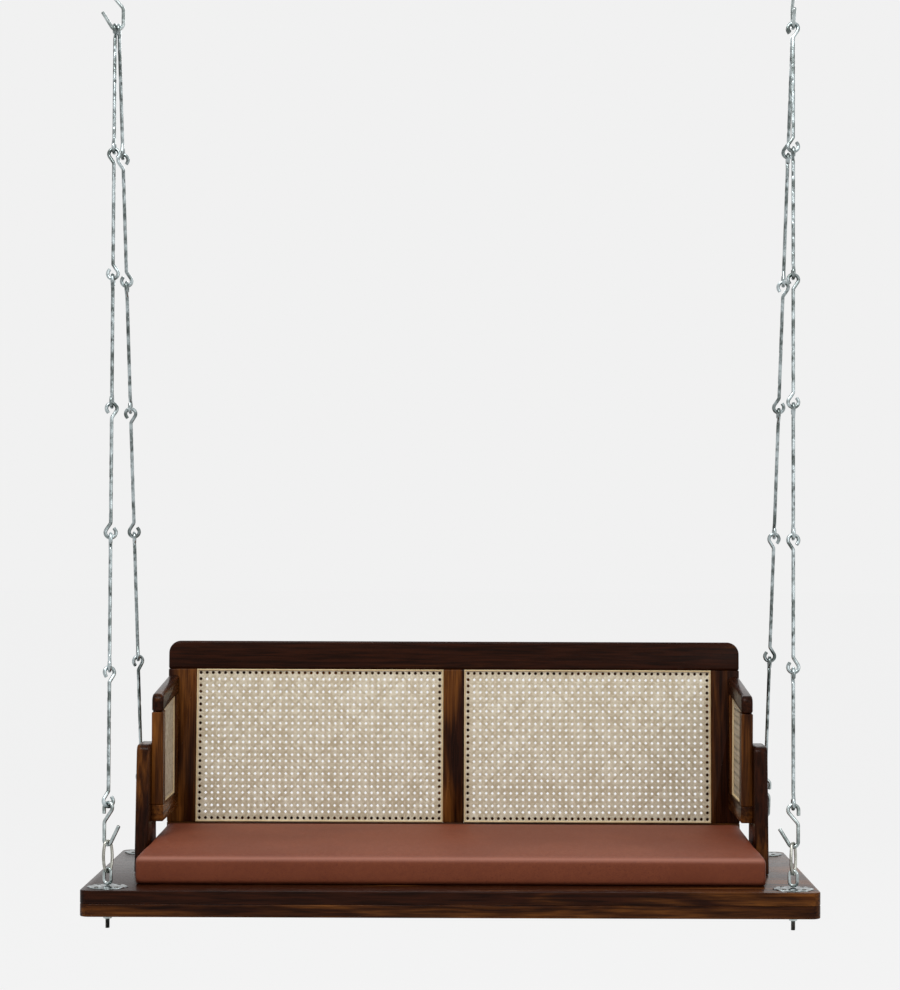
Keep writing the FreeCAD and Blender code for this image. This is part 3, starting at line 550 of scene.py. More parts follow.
worst = 0
for side, end in CHAINS:
    middles, up, pitch = chain_line(side, end)
    for number, middle in enumerate(middles, start=1):
        node = f"{side}_{end}_rod_{number}"
        line, mesh = rod_wire(pitch - JOINT, shift=(number % 4) * MM)
        face, miss = facing(node_points(node), line, middle, up)
        worst = max(worst, miss)
        rod = stand(mesh, middle, up, face)
        dress(f"{node}_wire", rod, painted_reflection_zinc, f"{side}_chains", [node])
    print(f"{side} {end} chain: rods every {pitch / MM:.1f} mm")
print(f"mean distance of a measured rod's points from its wire's middle: at most {worst / MM:.2f} mm")

# %% [markdown]
# ## S hooks and oval rings
# The chain ends in an S hook that drops into an oval ring. Both are wire again. An oval ring is four arcs
# that meet smoothly: two tight ends and two flat sides, whose radius follows from the ring's own length and
# width.

# %% Hook and ring wire
HOOK_LOOP = 9.4 * MM
HOOK_CENTRES = 57 * MM
HOOK_CHAMFER = 0.8 * MM


def s_hook_line(bow):
    """Tail, upper loop, slanting neck, straight body, bow and flared open end. The loop's centre is 0."""
    neck, bend, tail = 41, 10 * MM, 10 * MM
    flare, flare_length = 32, 33 * MM
    slope = math.radians(neck)
    leave = complex(-HOOK_LOOP * math.cos(slope), -HOOK_LOOP * math.sin(slope))
    neck_run = (bow - leave.real) / math.sin(slope)
    trim = bend * math.tan(slope / 2)
    body = leave.imag - neck_run * math.cos(slope) + HOOK_CENTRES - trim
    above = [tail, (HOOK_LOOP, -(180 + neck)), neck_run - trim, (bend, neck)]
    below = [body, (bow, 180 - flare), flare_length]
    return wire_line(above + below, complex(HOOK_LOOP, -tail))


def oval_line(length, width, end):
    """An oval of four arcs: two ends of a given radius and two sides that meet them smoothly.

    Where an end meets a side, that point and both centres lie on one line, so Pythagoras gives the side's
    radius.
    """
    half_long, half_wide = length / 2, width / 2
    side = ((half_long - end) ** 2 + half_wide**2 - end**2) / (2 * (half_wide - end))
    spread = math.degrees(math.atan2(half_long - end, side - half_wide))
    tight = (end, 180 - 2 * spread)
    steps = [(side, spread), tight, (side, 2 * spread), tight, (side, spread)]
    return wire_line(steps, complex(-half_wide, 0))[:-1]


def own_half(node, end):
    """The front or the rear one of a measured pair."""
    points = node_points(node)
    middle = (points[:, 1].min() + points[:, 1].max()) / 2
    return points[(points[:, 1] < middle) == (end == "front")]


def box_middle(points):
    """The middle of the box round some points."""
    return (points.min(0) + points.max(0)) / 2


# %% Low S hooks and rings, hung in line with their chains
RING_WIRE = 5.6 * MM
RING_LONG, RING_WIDE, RING_END = 61 * MM, 30 * MM, 9.2 * MM
LOW_BOW = 8.8 * MM
ring_line = oval_line(RING_LONG - RING_WIRE, RING_WIDE - RING_WIRE, RING_END)
low_line = s_hook_line(LOW_BOW)
for side in ("left", "right"):
    rings, hooks = [], []
    for end in ("front", "rear"):
        middles, up, pitch = chain_line(side, end)
        ring_points = own_half(f"{side}_rings", end)
        origin = box_middle(ring_points)
        face, _ = facing(ring_points, ring_line, origin, up)
        ring = round_bar("ring", ring_line, RING_WIRE / 2, closed=True)
        rings.append(stand(ring, origin, up, face))
        last_loop = (pitch - JOINT) / 2 + LOOP
        origin = middles[-1] - up * (last_loop + HOOK_LOOP - WIRE - SEAT_GAP)
        face, miss = facing(own_half(f"{side}_low_s_hooks", end), low_line, origin, up)
        print(f"{side} {end} S hook: {miss / MM:.2f} mm from the measured one")
        hook = round_bar("hook", low_line, WIRE / 2, chamfer=HOOK_CHAMFER)
        hooks.append(stand(hook, origin, up, face))
    for name, wires, finish, node in (
        (f"{side}_oval_rings", rings, ring_steel, f"{side}_rings"),
        (f"{side}_low_hooks", hooks, zinc, f"{side}_low_s_hooks"),
    ):
        dress(name, joined(name, wires), finish, f"{side}_chains", [node])

# %% [markdown]
# ## Ceiling hooks
# The top S hooks hang on heavier hooks that screw into the ceiling. A screw thread is a ridge that climbs as
# it goes round: its radius is a triangle wave of the height minus the angle's share of one pitch.

# %% Top S hooks and ceiling hooks
X, Y, UP = np.eye(3)
CEILING_WIRE = 8 * MM
CEILING_LOOP = 14 * MM
CEILING_NECK = 42
CEILING_BEND = 9 * MM
CEILING_TIP = 3 * MM
TOP_BOW = 12 * MM
CEILING_PLASTER = 6 * MM
PITCH = 1.25 * MM
THREAD_DEPTH = 0.55 * MM
THREAD_START = 0.7 * MM
THREAD_MARGIN = 0.5 * MM
ROWS_A_TURN = 6
swing_line = next(joint for joint in frame["joints"] if joint["name"] == "swing")["pos_m"][2]
studs = frame["record"]["mounts"][0]["dims"]
hang_across = studs["pcd_mm"] * MM / 2
seat_step = (CEILING_WIRE + WIRE) / 2 + SEAT_GAP


def round_grid(reach, heights):
    """Grid of points round z: a radius for each height and angle, and one height for each row."""
    angle = ring_angles(reach.shape[1])
    tall = np.broadcast_to(heights[:, None], reach.shape)
    return np.stack([reach * np.cos(angle), reach * np.sin(angle), tall], axis=-1)


def threaded_rod(name, radius, low, high, sides=20):
    """A threaded length along z: the radius falls and rises once each pitch, and later with the angle."""
    heights = np.linspace(low, high, int((high - low) / PITCH * ROWS_A_TURN) + 1)
    phase = (heights[:, None] / PITCH - ring_angles(sides)[None, :] / (2 * np.pi)) % 1
    reach = radius - THREAD_DEPTH * np.abs(2 * phase - 1)
    reach[[0, -1]] = radius - THREAD_START
    return grid_mesh(name, round_grid(reach, heights))


for side, sign in (("left", -1), ("right", 1)):
    node = f"{side}_top_s_hook"
    bow_low = swing_line - (seat_step if side == "left" else 0)
    origin = np.array([sign * hang_across, 0, bow_low + seat_step - HOOK_LOOP])
    line = s_hook_line(TOP_BOW)
    face, miss = facing(node_points(node), line, origin, UP)
    print(f"{node}: {miss / MM:.2f} mm from the measured one")
    hook = stand(round_bar("hook", line, WIRE / 2, chamfer=HOOK_CHAMFER), origin, UP, face)
    dress(f"{node}_wire", hook, zinc, "top_hooks", [node])
    node = f"{side}_ceiling_hook"
    points = node_points(node)
    origin = np.array([sign * hang_across, 0, bow_low + CEILING_LOOP])
    thread_foot, thread_top = -origin[2] - CEILING_PLASTER, points[:, 2].max() - origin[2]
    line = looped_end(CEILING_LOOP, CEILING_NECK, CEILING_BEND, CEILING_TIP, thread_foot)
    below_thread = points[points[:, 2] < -CEILING_PLASTER - THREAD_MARGIN]
    face, miss = facing(below_thread, line, origin, UP)
    print(f"{node}: {miss / MM:.2f} mm from the measured one")
    bar = round_bar("hook", line, CEILING_WIRE / 2, sides=20)
    stud = threaded_rod("stud", CEILING_WIRE / 2, thread_foot, thread_top)
    hook = stand(joined("ceiling_hook", [bar, stud]), origin, UP, face)
    dress(f"{node}_wire", hook, zinc, "ceiling_hooks", [node])


# %% [markdown]
# ## Turned discs
# Cover plates, washers and domed screw heads are turned: one profile spun round an axis.

# %% Discs
def turned(name, profile, spot, sides=48, wave=None):
    """A profile of (radius, height) pairs spun round z. wave gives the radius's share at each angle."""
    radii, heights = np.array(profile).T
    shares = np.ones((1, sides)) if wave is None else wave(radii[:, None], ring_angles(sides)[None, :])
    return grid_mesh(name, round_grid(radii[:, None] * shares, heights) + np.array(spot))


def in_mm(pairs):
    """Pairs of radius and height, written in millimetres."""
    return np.array(pairs) * MM


cover = in_mm([(4.4, -3), (16.5, -3), (17.6, -2.4), (18, -1.2), (18, -0.05), (4.4, -0.05)])
covers = joined("covers", [turned("cover", cover, (sign * hang_across, 0, 0)) for sign in (-1, 1)])
dress("ceiling_covers", covers, zinc, "ceiling_hooks", ["ceiling_cover_plates"])
print(f"{len(covers.polygons)} faces of cover plates")

# %% [markdown]
# ## Eye bolts on their plates
# Each corner of the seat has an eye bolt through a round plate with a wavy rim. The plate is dished, so its
# height follows a smooth hump, and its rim follows the cosine of eight times the angle. Two rings and a petal
# between each two lobes are pressed into it, and the finish paints shade into them. Screws hold it down; they
# are painted dark, as painted shade of their recesses. The bolt's threaded tail, its washer and its nut show
# under the seat.

# %% Places and sizes at a corner
PLATE_RADIUS = 37 * MM
PLATE_WAVE = 4 * MM
PLATE_SIDES = 144
LOBES = 8
WAVE_START = 0.45
GROOVE_SHADE = 1.3
EYE_WIRE = 6 * MM
EYE_WIDE, EYE_TALL = 21 * MM, 33 * MM
EYE_TURN = math.radians(-28)
BOLT = 4 * MM
SHANK_ABOVE = 3.2 * MM
WASHER = 2 * MM
NUT = 7 * MM
SCREWS = 4
SCREW_CIRCLE = 25 * MM
low, high = (np.array(corner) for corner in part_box("eye_plates"))
base_top = low[2]
base_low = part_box("seat_skirt")[0][2]
eye_xs = (low[0] + PLATE_RADIUS, high[0] - PLATE_RADIUS)
eye_ys = (low[1] + PLATE_RADIUS, high[1] - PLATE_RADIUS)
eye_spots = [(x, y) for x in eye_xs for y in eye_ys]
tail_low, eye_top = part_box("eye_bolts")[0][2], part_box("eye_bolts")[1][2] - EYE_WIRE / 2
eye_radius = (EYE_WIDE - EYE_WIRE) / 2
eye_leg = EYE_TALL - EYE_WIDE
eye_face = np.array([math.cos(EYE_TURN), math.sin(EYE_TURN), 0])
print("eye bolts at, metres:", np.round(eye_spots, 4).tolist())

# %% Eyes, plates, screws, washers and nuts
def wavy(radius, angle):
    """Share of the radius: the cosine wave of the rim, fading towards the middle."""
    fade = np.clip((radius / PLATE_RADIUS - WAVE_START) / (1 - WAVE_START), 0, 1)
    return 1 - fade * PLATE_WAVE / PLATE_RADIUS * (1 - np.cos(LOBES * angle)) / 2


plate = in_mm([(4.4, 0), (36.2, 0), (37, 0.5), (36.6, 1.4), (33.5, 2.0), (30, 1.5), (27, 1.7), (20, 2.6),
               (15.5, 3.0), (13, 2.4), (10, 2.2), (7.5, 2.8), (4.4, 3.0)])
washer = in_mm([(4.4, 0), (11.6, 0), (12, 0.4), (12, 1.6), (11.6, 2), (4.4, 2)])
nut = in_mm([(4.4, 0), (7.0, 0), (7.5, 0.5), (7.5, 6.5), (7.0, 7), (4.4, 7)])
screw = in_mm([(0.2, 0.6), (3.6, 0.9), (4.1, 1.5), (3.7, 2.4), (2.4, 3.1), (0.2, 3.4)])
shank = [(BOLT, base_low - WASHER), (BOLT, base_top + SHANK_ABOVE)]
plate_radii = plate[:, 0] / MM
petal = (1 - np.cos(LOBES * ring_angles(PLATE_SIDES))) / 2
# Painted shade for the pressed rings, and for the petals between the lobes.
ringed = np.interp(plate_radii, [9, 10, 12, 13.5, 26, 27.5, 30, 32], [0, 0.9, 0.9, 0, 0, 0.8, 0.8, 0])
groove_shade = ringed[:, None] + ((plate_radii > 14) & (plate_radii < 26))[:, None] * petal**4
plates, screws, eyes, tails, washers, nuts = [], [], [], [], [], []
for x, y in eye_spots:
    wavy_plate = turned("plate", plate, (x, y, base_top), PLATE_SIDES, wave=wavy)
    plates.append(paint_points(wavy_plate, "mark", np.clip(groove_shade, 0, 1) * GROOVE_SHADE))
    for number in range(SCREWS):
        turn = 2 * math.pi * (number + 0.5) / SCREWS
        spot = (x + SCREW_CIRCLE * math.cos(turn), y + SCREW_CIRCLE * math.sin(turn), base_top)
        screws.append(turned("screw", screw, spot, sides=20))
    loop = [eye_leg, (eye_radius, 180), eye_leg, (eye_radius, 180)]
    loop = wire_line(loop, complex(-eye_radius, -eye_leg / 2))[:-1]
    centre = np.array([x, y, eye_top - eye_radius - eye_leg / 2])
    eyes.append(stand(round_bar("eye", loop, EYE_WIRE / 2, closed=True), centre, UP, eye_face))
    eyes.append(turned("shank", shank, (x, y, 0), sides=24))
    tail = threaded_rod("tail", BOLT, tail_low, base_low - WASHER / 2)
    tails.append(stand(tail, np.array([x, y, 0]), UP, X))
    washers.append(turned("washer", washer, (x, y, base_low - WASHER)))
    nuts.append(turned("nut", nut, (x, y, base_low - WASHER - NUT), sides=6))
for name, parts, finish, nodes, crease in (
    ("eye_bolt_wires", eyes, zinc, ["eye_bolts"], 40),
    ("bolt_tails", tails, painted_shade_steel, [], 40),
    ("wavy_plates", plates, painted_reflection_zinc, ["eye_plates"], 40),
    ("plate_screws", screws, painted_shade_steel, [], 40),
    ("round_washers", washers, zinc, ["eye_washers"], 40),
    ("hex_nuts", nuts, zinc, ["eye_nuts"], 25),
):
    dress(name, joined(name, parts), finish, "bench", nodes, crease)


# %% [markdown]
# ## Boards
# Every wooden piece is a flat board with an outline, a thickness and edges that sandpaper has eased. The
# outline is read from the measured piece, as the convex hull of its points seen square to its face. The skin
# is then a stack of copies of that outline: drawn in where the edge is round, full in between.

# %% Outlines
EDGE_STEPS = 3
SAME_CORNER = 0.3 * MM
SHARP_TURN = math.radians(30)
SOFTEN_SHARE = 0.3


def hull(flat):
    """Corners of the convex outline round flat points, as complex numbers, anticlockwise, each one once."""
    outline = np.array([complex(*flat[i]) for i in convex_hull_2d([tuple(point) for point in flat])])
    outline = outline[np.abs(outline - np.roll(outline, 1)) > SAME_CORNER]
    area = (np.conj(outline) * np.roll(outline, -1)).imag.sum()
    return outline if area > 0 else outline[::-1]


def soften(outline, radius):
    """Rounds the sharp corners of an outline.

    At each corner that turns sharply, points follow the curve that starts and ends at radius from the corner
    along its two sides: (1-t)^2 start + 2t(1-t) corner + t^2 end.
    """
    before = np.roll(outline, 1) - outline
    after = np.roll(outline, -1) - outline
    turn = np.abs(np.angle(-before * np.conj(after)))
    reach = np.minimum(radius, SOFTEN_SHARE * np.minimum(np.abs(before), np.abs(after)))
    reach = np.where(turn > SHARP_TURN, reach, 0)
    start = (outline + before / np.abs(before) * reach)[:, None]
    end = (outline + after / np.abs(after) * reach)[:, None]
    share = np.linspace(0, 1, EDGE_STEPS + 1)[None, :]
    curve = (1 - share) ** 2 * start + 2 * share * (1 - share) * outline[:, None] + share**2 * end
    rounded = np.where(reach[:, None] > 0, curve, np.nan)
    rounded[reach == 0, 0] = outline[reach == 0]
    rounded = rounded.ravel()
    return rounded[~np.isnan(rounded)]


def drawn_in(outline, amounts):
    """Copies of an outline with every side moved inwards by each amount.

    A corner moves along its mitre: the sum of its two sides' inward directions, divided by one plus their dot
    product.
    """
    side = np.roll(outline, -1) - outline
    inward = 1j * side / np.abs(side)
    before = np.roll(inward, 1)
    mitre = (before + inward) / (1 + (before * np.conj(inward)).real)
    return outline[None, :] + np.asarray(amounts)[:, None] * mitre[None, :]


# %% Board skin
BOARD_SHIFT = np.array([0.37, 0.11, 0.23])
boards_made = []


def place_in_board(mesh, axes, grain, tone):
    """Stores each vertex's place in its own board, and the board's tone or its tones from end to end."""
    local = mesh_points(mesh) @ axes.T
    order = [0, 1, 2] if grain == 0 else [1, 0, 2]
    boards_made.append(mesh.name)
    shifted = local[:, order] + BOARD_SHIFT * len(boards_made)
    mesh.attributes.new("board", "FLOAT_VECTOR", "POINT").data.foreach_set("vector", shifted.ravel())
    along = shifted[:, 0] - shifted[:, 0].min()
    start, end = tone if isinstance(tone, tuple) else (tone, tone)
    paint_points(mesh, "tone", start + (end - start) * along / along.max())


def board(name, nodes, points, axes, grain, tone=0.0, ease=2.0 * MM):
    """One board over the measured points. Its eased edges are quarter circles.

    axes are its two face directions and its thickness direction. grain is 0 or 1, the face direction that the
    grain runs along.
    """
    axes = np.array(axes, float)
    local = points @ axes.T
    outline = soften(hull(local[:, :2]), ease)
    turn = np.linspace(0, np.pi / 2, EDGE_STEPS + 1)
    low, high = local[:, 2].min(), local[:, 2].max()
    inset = ease * (1 - np.sin(turn))
    height = ease * (1 - np.cos(turn))
    rings = drawn_in(outline, np.concatenate([inset, inset[::-1]]))
    heights = np.concatenate([low + height, (high - height)[::-1]])
    flat = np.stack([rings.real, rings.imag, np.broadcast_to(heights[:, None], rings.shape)], axis=-1)
    mesh = grid_mesh(name, flat @ axes)
    place_in_board(mesh, axes, grain, tone)
    return dress(name, mesh, sheesham, "bench", nodes, crease=50)


# %% [markdown]
# The base lies flat, the posts and arms stand along the side, and the back leans by five degrees. Three sets
# of axes cover them all.

# %% Base, posts, arms and back
LEAN = math.radians(5)
FLAT = [X, Y, UP]
SIDE = [Y, UP, X]
BACK = [X, np.array([0, math.sin(LEAN), math.cos(LEAN)]), np.array([0, -math.cos(LEAN), math.sin(LEAN)])]

base_ease = 1.6 * MM
board("top_board", ["seat_board"], node_points("seat_board"), FLAT, 0, (-0.7, 0.3), base_ease)
board("cross_rail", ["seat_cross_rail"], node_points("seat_cross_rail"), FLAT, 1)
for side, post_tone, front_tone in (("left", 0.05, 1.2), ("right", -0.45, 0.15)):
    node = f"{side}_post"
    board(f"{side}_side_post", [node], node_points(node), SIDE, 1, post_tone, 4 * MM)
    for rail, tone, ease in (("top_rail", -0.3, 6), ("low_rail", 0.45, 2)):
        node = f"{side}_arm_{rail}"
        board(f"{node}_board", [node], node_points(node), SIDE, 0, tone, ease * MM)
    node = f"{side}_arm_stiles"
    for end, nodes, tone in (("front", [node], front_tone), ("rear", [], 0.2)):
        board(f"{side}_arm_{end}_stile", nodes, own_half(node, end), SIDE, 1, tone)
for node, grain, tone, ease in (
    ("back_top_rail", 0, -0.55, 4),
    ("back_low_rail", 0, 0.0, 2),
    ("back_left_stile", 1, 0.3, 2),
    ("back_right_stile", 1, -0.15, 2),
    ("back_mid_stile", 1, 0.35, 2),
):
    board(f"{node}_board", [node], node_points(node), BACK, grain, tone, ease * MM)

# %% [markdown]
# The lower layer of the base is four rails round an open middle. Their outer corners are rounded with the
# board's, so the front and rear rails take the corners, and the side rails fit between them.

# %% Lower rails
RAIL_WIDE = 62 * MM
ON_EDGE = 0.01 * MM
skirt = node_points("seat_skirt")
skirt_low, skirt_high = skirt.min(0), skirt.max(0)
front_inner, rear_inner = skirt_low[1] + RAIL_WIDE, skirt_high[1] - RAIL_WIDE
for name, wanted, inner_y, nodes, tone in (
    ("front_low_rail", skirt[:, 1] < front_inner + ON_EDGE, front_inner, ["seat_skirt"], (0.25, 0.4)),
    ("rear_low_rail", skirt[:, 1] > rear_inner - ON_EDGE, rear_inner, [], 0.2),
):
    rail = skirt[wanted]
    inner = np.array([[x, inner_y, z] for x in (skirt_low[0], skirt_high[0]) for z in rail[:, 2]])
    board(name, nodes, np.concatenate([rail, inner]), FLAT, 0, tone, base_ease)
for name, sign in (("left_low_rail", -1), ("right_low_rail", 1)):
    outer = skirt_high[0] * sign
    xs, ys, zs = (outer, outer - sign * RAIL_WIDE), (front_inner, rear_inner), (skirt_low[2], skirt_high[2])
    rail = np.array([[x, y, z] for x in xs for y in ys for z in zs])
    board(name, [], rail, FLAT, 1, 0.4, base_ease)
print(f"{len(boards_made)} boards")

# %% [markdown]
# ## Woven cane
# Cane webbing has four sets of strands: pairs across, pairs upright, and one each way on the slant. The
# slanted ones pass half way between the crossings of the pairs and cut the corners off the square gaps, which
# leaves eight-sided holes. One slanted set passes over the uprights and under the cross pairs, and the other
# does the reverse, so a cosine of the place gives each strand's height. A strand's cross-section is a low
# triangle. The slanted strands are slimmer where they are pulled down to the panel's edge, which opens the
# outermost holes.

# %% Strands
CELL = np.array([12.2, 12.5]) * MM
FIRST_HOLE = np.array([8, 8]) * MM
PAIR = 0.13
STRAND = 3.1 * MM
SLANTED = 4.3 * MM
THICK = 0.55 * MM
PAIR_LIFT = 0.27 * MM
SLANTED_LIFT = 0.45 * MM
SLANTED_RISE = 0.18 * MM
SLIM_BAND = 14 * MM
SLIM_RAMP = 3 * MM
SLIM_SHARE = 0.3
STRAIGHT_ROWS, SLANTED_ROWS = 4, 6
SHORTEST = 0.002
random = np.random.default_rng(seed=7)


def strand(line, width, lift):
    """One ribbon along a straight line of points on a plane: its points, its faces and its shade.

    Row by row a ribbon has a left edge, a crown and a right edge. lift is the height of its edges at each
    point of the line.
    """
    along = line[-1] - line[0]
    aside = unit(np.array([-along[1], along[0]])) * width / 2
    flat = np.stack([line - aside, line, line + aside], axis=1)
    rise = np.stack([lift, lift + THICK, lift], axis=1)[..., None]
    points = np.concatenate([flat, rise], axis=-1).reshape(-1, 3)
    return points, grid_quads(len(line), 3), np.full(len(points), random.random())


def clipped(point, direction, size):
    """Where a line through a point leaves a rectangle from (0, 0) to size, both ways.

    Distances are counted in lengths of direction. The line is inside from the later of the two axes' first
    hits to the earlier of their last ones. A line that is inside for less than SHORTEST counts as outside.
    """
    with np.errstate(divide="ignore"):
        hits = np.sort(np.stack([-point / direction, (size - point) / direction]), axis=0)
    first, last = hits[0].max(), hits[1].min()
    return (point + direction * first, point + direction * last) if last - first > SHORTEST else None


def slimmed(line, size):
    """Width of a slanted strand: less by a share in the band along the panel's edge, with a short ramp."""
    to_edge = np.minimum(line, size - line).min(axis=1, keepdims=True)
    return SLANTED * (1 - SLIM_SHARE * np.clip((SLIM_BAND - to_edge) / SLIM_RAMP, 0, 1))


def weave(size):
    """All strands of one panel of a given width and height. Its lowest left hole is centred on FIRST_HOLE."""
    turns = 2 * np.pi / CELL
    woven = []
    lines = np.arange(-1, np.ceil(size / CELL).max() + 2)[:, None]
    for axis, other in ((0, 1), (1, 0)):
        spots = FIRST_HOLE[axis] + (lines - 0.5 + np.array([-PAIR, PAIR])) * CELL[axis]
        signs = np.broadcast_to([other - axis, axis - other], spots.shape)
        for spot, sign in zip(spots.ravel(), signs.ravel()):
            if not STRAND / 2 < spot < size[axis] - STRAND / 2:
                continue
            start, end = np.zeros(2), size.copy()
            start[axis] = end[axis] = spot
            line = np.linspace(start, end, int(size[other] / CELL[other] * STRAIGHT_ROWS) + 1)
            wave = np.cos((line[:, other] - FIRST_HOLE[other]) * turns[other] / 2)
            woven.append(strand(line, STRAND, sign * PAIR_LIFT * wave))
    reach = int(np.ceil(size / CELL).sum()) + 2
    for sign in (1, -1):
        for number in range(-reach, reach):
            point = FIRST_HOLE + np.array([CELL[0] * (number + 0.5), 0])
            span = clipped(point, CELL * (1, sign), size)
            if span is None:
                continue
            start, end = span
            rows = int(abs(end[0] - start[0]) / CELL[0] * SLANTED_ROWS) + 1
            line = np.linspace(start, end, max(3, rows))
            wave = np.cos((line[:, 0] - FIRST_HOLE[0]) * turns[0])
            woven.append(strand(line, slimmed(line, size), sign * SLANTED_LIFT * wave + SLANTED_RISE))
    return woven


def cane_panel(name, node, axes, cut=None):
    """A woven panel in a measured sheet's place. cut is (point, normal) of a sloping edge."""
    axes = np.array(axes, float)
    local = node_points(node) @ axes.T
    low, high = local.min(0), local.max(0)
    points, quads, shades = zip(*weave((high - low)[:2]))
    bases = np.cumsum([0, *map(len, points[:-1])])
    quads = [faces + base for faces, base in zip(quads, bases)]
    shift = np.array([*low[:2], (low[2] + high[2]) / 2])
    mesh = quad_mesh(name, (np.concatenate(points) + shift) @ axes, np.concatenate(quads))
    paint_points(mesh, "strand", np.concatenate(shades))
    if cut:
        edit = bmesh.new()
        edit.from_mesh(mesh)
        everything = edit.verts[:] + edit.edges[:] + edit.faces[:]
        bmesh.ops.bisect_plane(edit, geom=everything, plane_co=cut[0], plane_no=cut[1], clear_outer=True)
        edit.to_mesh(mesh)
        edit.free()
    print(f"{name}: {len(mesh.polygons)} faces of cane")
    return dress(name, mesh, cane_skin, "bench", [node], crease=80)


AT_END = 0.1 * MM
for side in ("left", "right"):
    cane_panel(f"back_{side}_webbing", f"back_{side}_cane", BACK)
for side in ("left", "right"):
    node = f"{side}_arm_cane"
    corners = node_points(node)
    front_top = corners[corners[:, 1] < corners[:, 1].min() + AT_END].max(0)
    rear_top = corners[corners[:, 1] > corners[:, 1].max() - AT_END].max(0)
    slope = unit(np.cross(X, rear_top - front_top))
    slope = slope * np.sign(slope[2])
    cane_panel(f"{side}_arm_webbing", node, SIDE, cut=(front_top, slope))

# %% [markdown]
# A reed is pressed over the cut edge of the webbing into a groove. It is a half-round bar that follows the
# panel's edge, with mitred corners. Behind the webbing the frame has a ledge that the cane is glued to, which
# is why the outermost holes look dark.

# %% Reeds and ledges
REED_WIDE = 3.4 * MM
REED_FOOT = 0.6 * MM
REED_CREST = 2.4 * MM
REED_ROUNDNESS = 0.7
LEDGE_WIDE = 15 * MM
LEDGE_INSET = 3 * MM


def edge_frame(name, outline, wide, low, high, axes, round_top):
    """A frame inside an outline: one cross-section carried round it, drawn in by its own width."""
    if round_top:
        turn = np.linspace(0, np.pi, 9)
        inset = wide / 2 * (1 - np.cos(turn))
        height = low + (high - low) * np.sin(turn) ** REED_ROUNDNESS
    else:
        inset = np.array([0, 0, wide, wide])
        height = np.array([low, high, high, low])
    rings = drawn_in(outline, inset)
    flat = np.stack([rings.real, rings.imag, np.broadcast_to(height[:, None], rings.shape)], axis=-1)
    return grid_mesh(name, flat @ np.array(axes, float), loop_rows=True)


reeds = []
for node, axes, outward, rail_node in (
    ("back_left_cane", BACK, 1, "back_low_rail"),
    ("back_right_cane", BACK, 1, "back_low_rail"),
    ("left_arm_cane", SIDE, 1, "left_arm_low_rail"),
    ("right_arm_cane", SIDE, -1, "right_arm_low_rail"),
):
    axes = np.array(axes)
    local, rail = node_points(node) @ axes.T, node_points(rail_node) @ axes.T
    outline = hull(local[:, :2])
    behind, front = (local[:, 2].min(), local[:, 2].max())[::outward]
    rear = (rail[:, 2].min(), rail[:, 2].max())[::outward][0]
    foot, crest = front - outward * REED_FOOT, front + outward * REED_CREST
    reeds.append(edge_frame("reed", outline, REED_WIDE, foot, crest, axes, round_top=True))
    step = rear + outward * LEDGE_INSET
    ledge = edge_frame("ledge", outline, LEDGE_WIDE, behind, step, axes, round_top=False)
    place_in_board(ledge, axes, grain=0, tone=0.0)
    dress(f"{node}_ledge", ledge, sheesham, "bench")
reed_mesh = paint_points(joined("reeds", reeds), "strand", 0.5)
dress("edge_reeds", reed_mesh, reed_skin, "bench", ["cane_beads"])
print(f"{len(reeds)} reeds, {len(reed_mesh.polygons)} faces")

# %% [markdown]
# ## The cushion
# One foam slab in a leatherette cover fills the seat between the posts. Its top is crowned, its sides pull in
# a little between the corners, and its top edges are soft. A cover is a skin under tension with foam pushing
# out, which is what cloth with inner pressure does. So the slab is remeshed, blown up in Blender's cloth
# solver with gravity off, and every point is then kept within a small distance of where it began.

# %% Cushion: slab
EDGE_HIGH = 50 * MM
SLAB_INSET = np.array([0, 3, 0]) * MM
EDGE_ROUND = 5 * MM
VOXEL = 6 * MM
slab_low, slab_high = (np.array(corner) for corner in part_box("cushion"))
slab_low += SLAB_INSET
slab_high -= SLAB_INSET
slab_high[2] = slab_low[2] + EDGE_HIGH


def apply_all(piece):
    """Bakes every modifier of a piece into its mesh."""
    done = bpy.data.meshes.new_from_object(piece.evaluated_get(bpy.context.evaluated_depsgraph_get()))
    piece.modifiers.clear()
    piece.data = done


def box_object(name, low, high):
    """A plain box between two corners."""
    edit = bmesh.new()
    bmesh.ops.create_cube(edit, size=1.0)
    mesh = bpy.data.meshes.new(name)
    edit.to_mesh(mesh)
    edit.free()
    set_points(mesh, (low + high) / 2 + mesh_points(mesh) * (high - low))
    piece = bpy.data.objects.new(name, mesh)
    bpy.context.scene.collection.objects.link(piece)
    return piece


cushion = box_object("seat_cushion", slab_low, slab_high)
rounding = cushion.modifiers.new("rounding", "BEVEL")
rounding.width = EDGE_ROUND
rounding.segments = 4
remesh = cushion.modifiers.new("remesh", "REMESH")
remesh.mode = "VOXEL"
remesh.voxel_size = VOXEL
apply_all(cushion)
rest = mesh_points(cushion.data)
print(f"cushion: {len(rest)} points before the cloth solver")

# %% Cushion: cloth
PRESSURE = 4
CLOTH_STEPS = 20
cloth = cushion.modifiers.new("cloth", "CLOTH").settings
cloth.use_pressure = True
cloth.uniform_pressure_force = PRESSURE
cloth.effector_weights.gravity = 0
scene = bpy.context.scene
for step in range(1, CLOTH_STEPS + 1):
    scene.frame_set(step)
apply_all(cushion)
scene.frame_set(1)
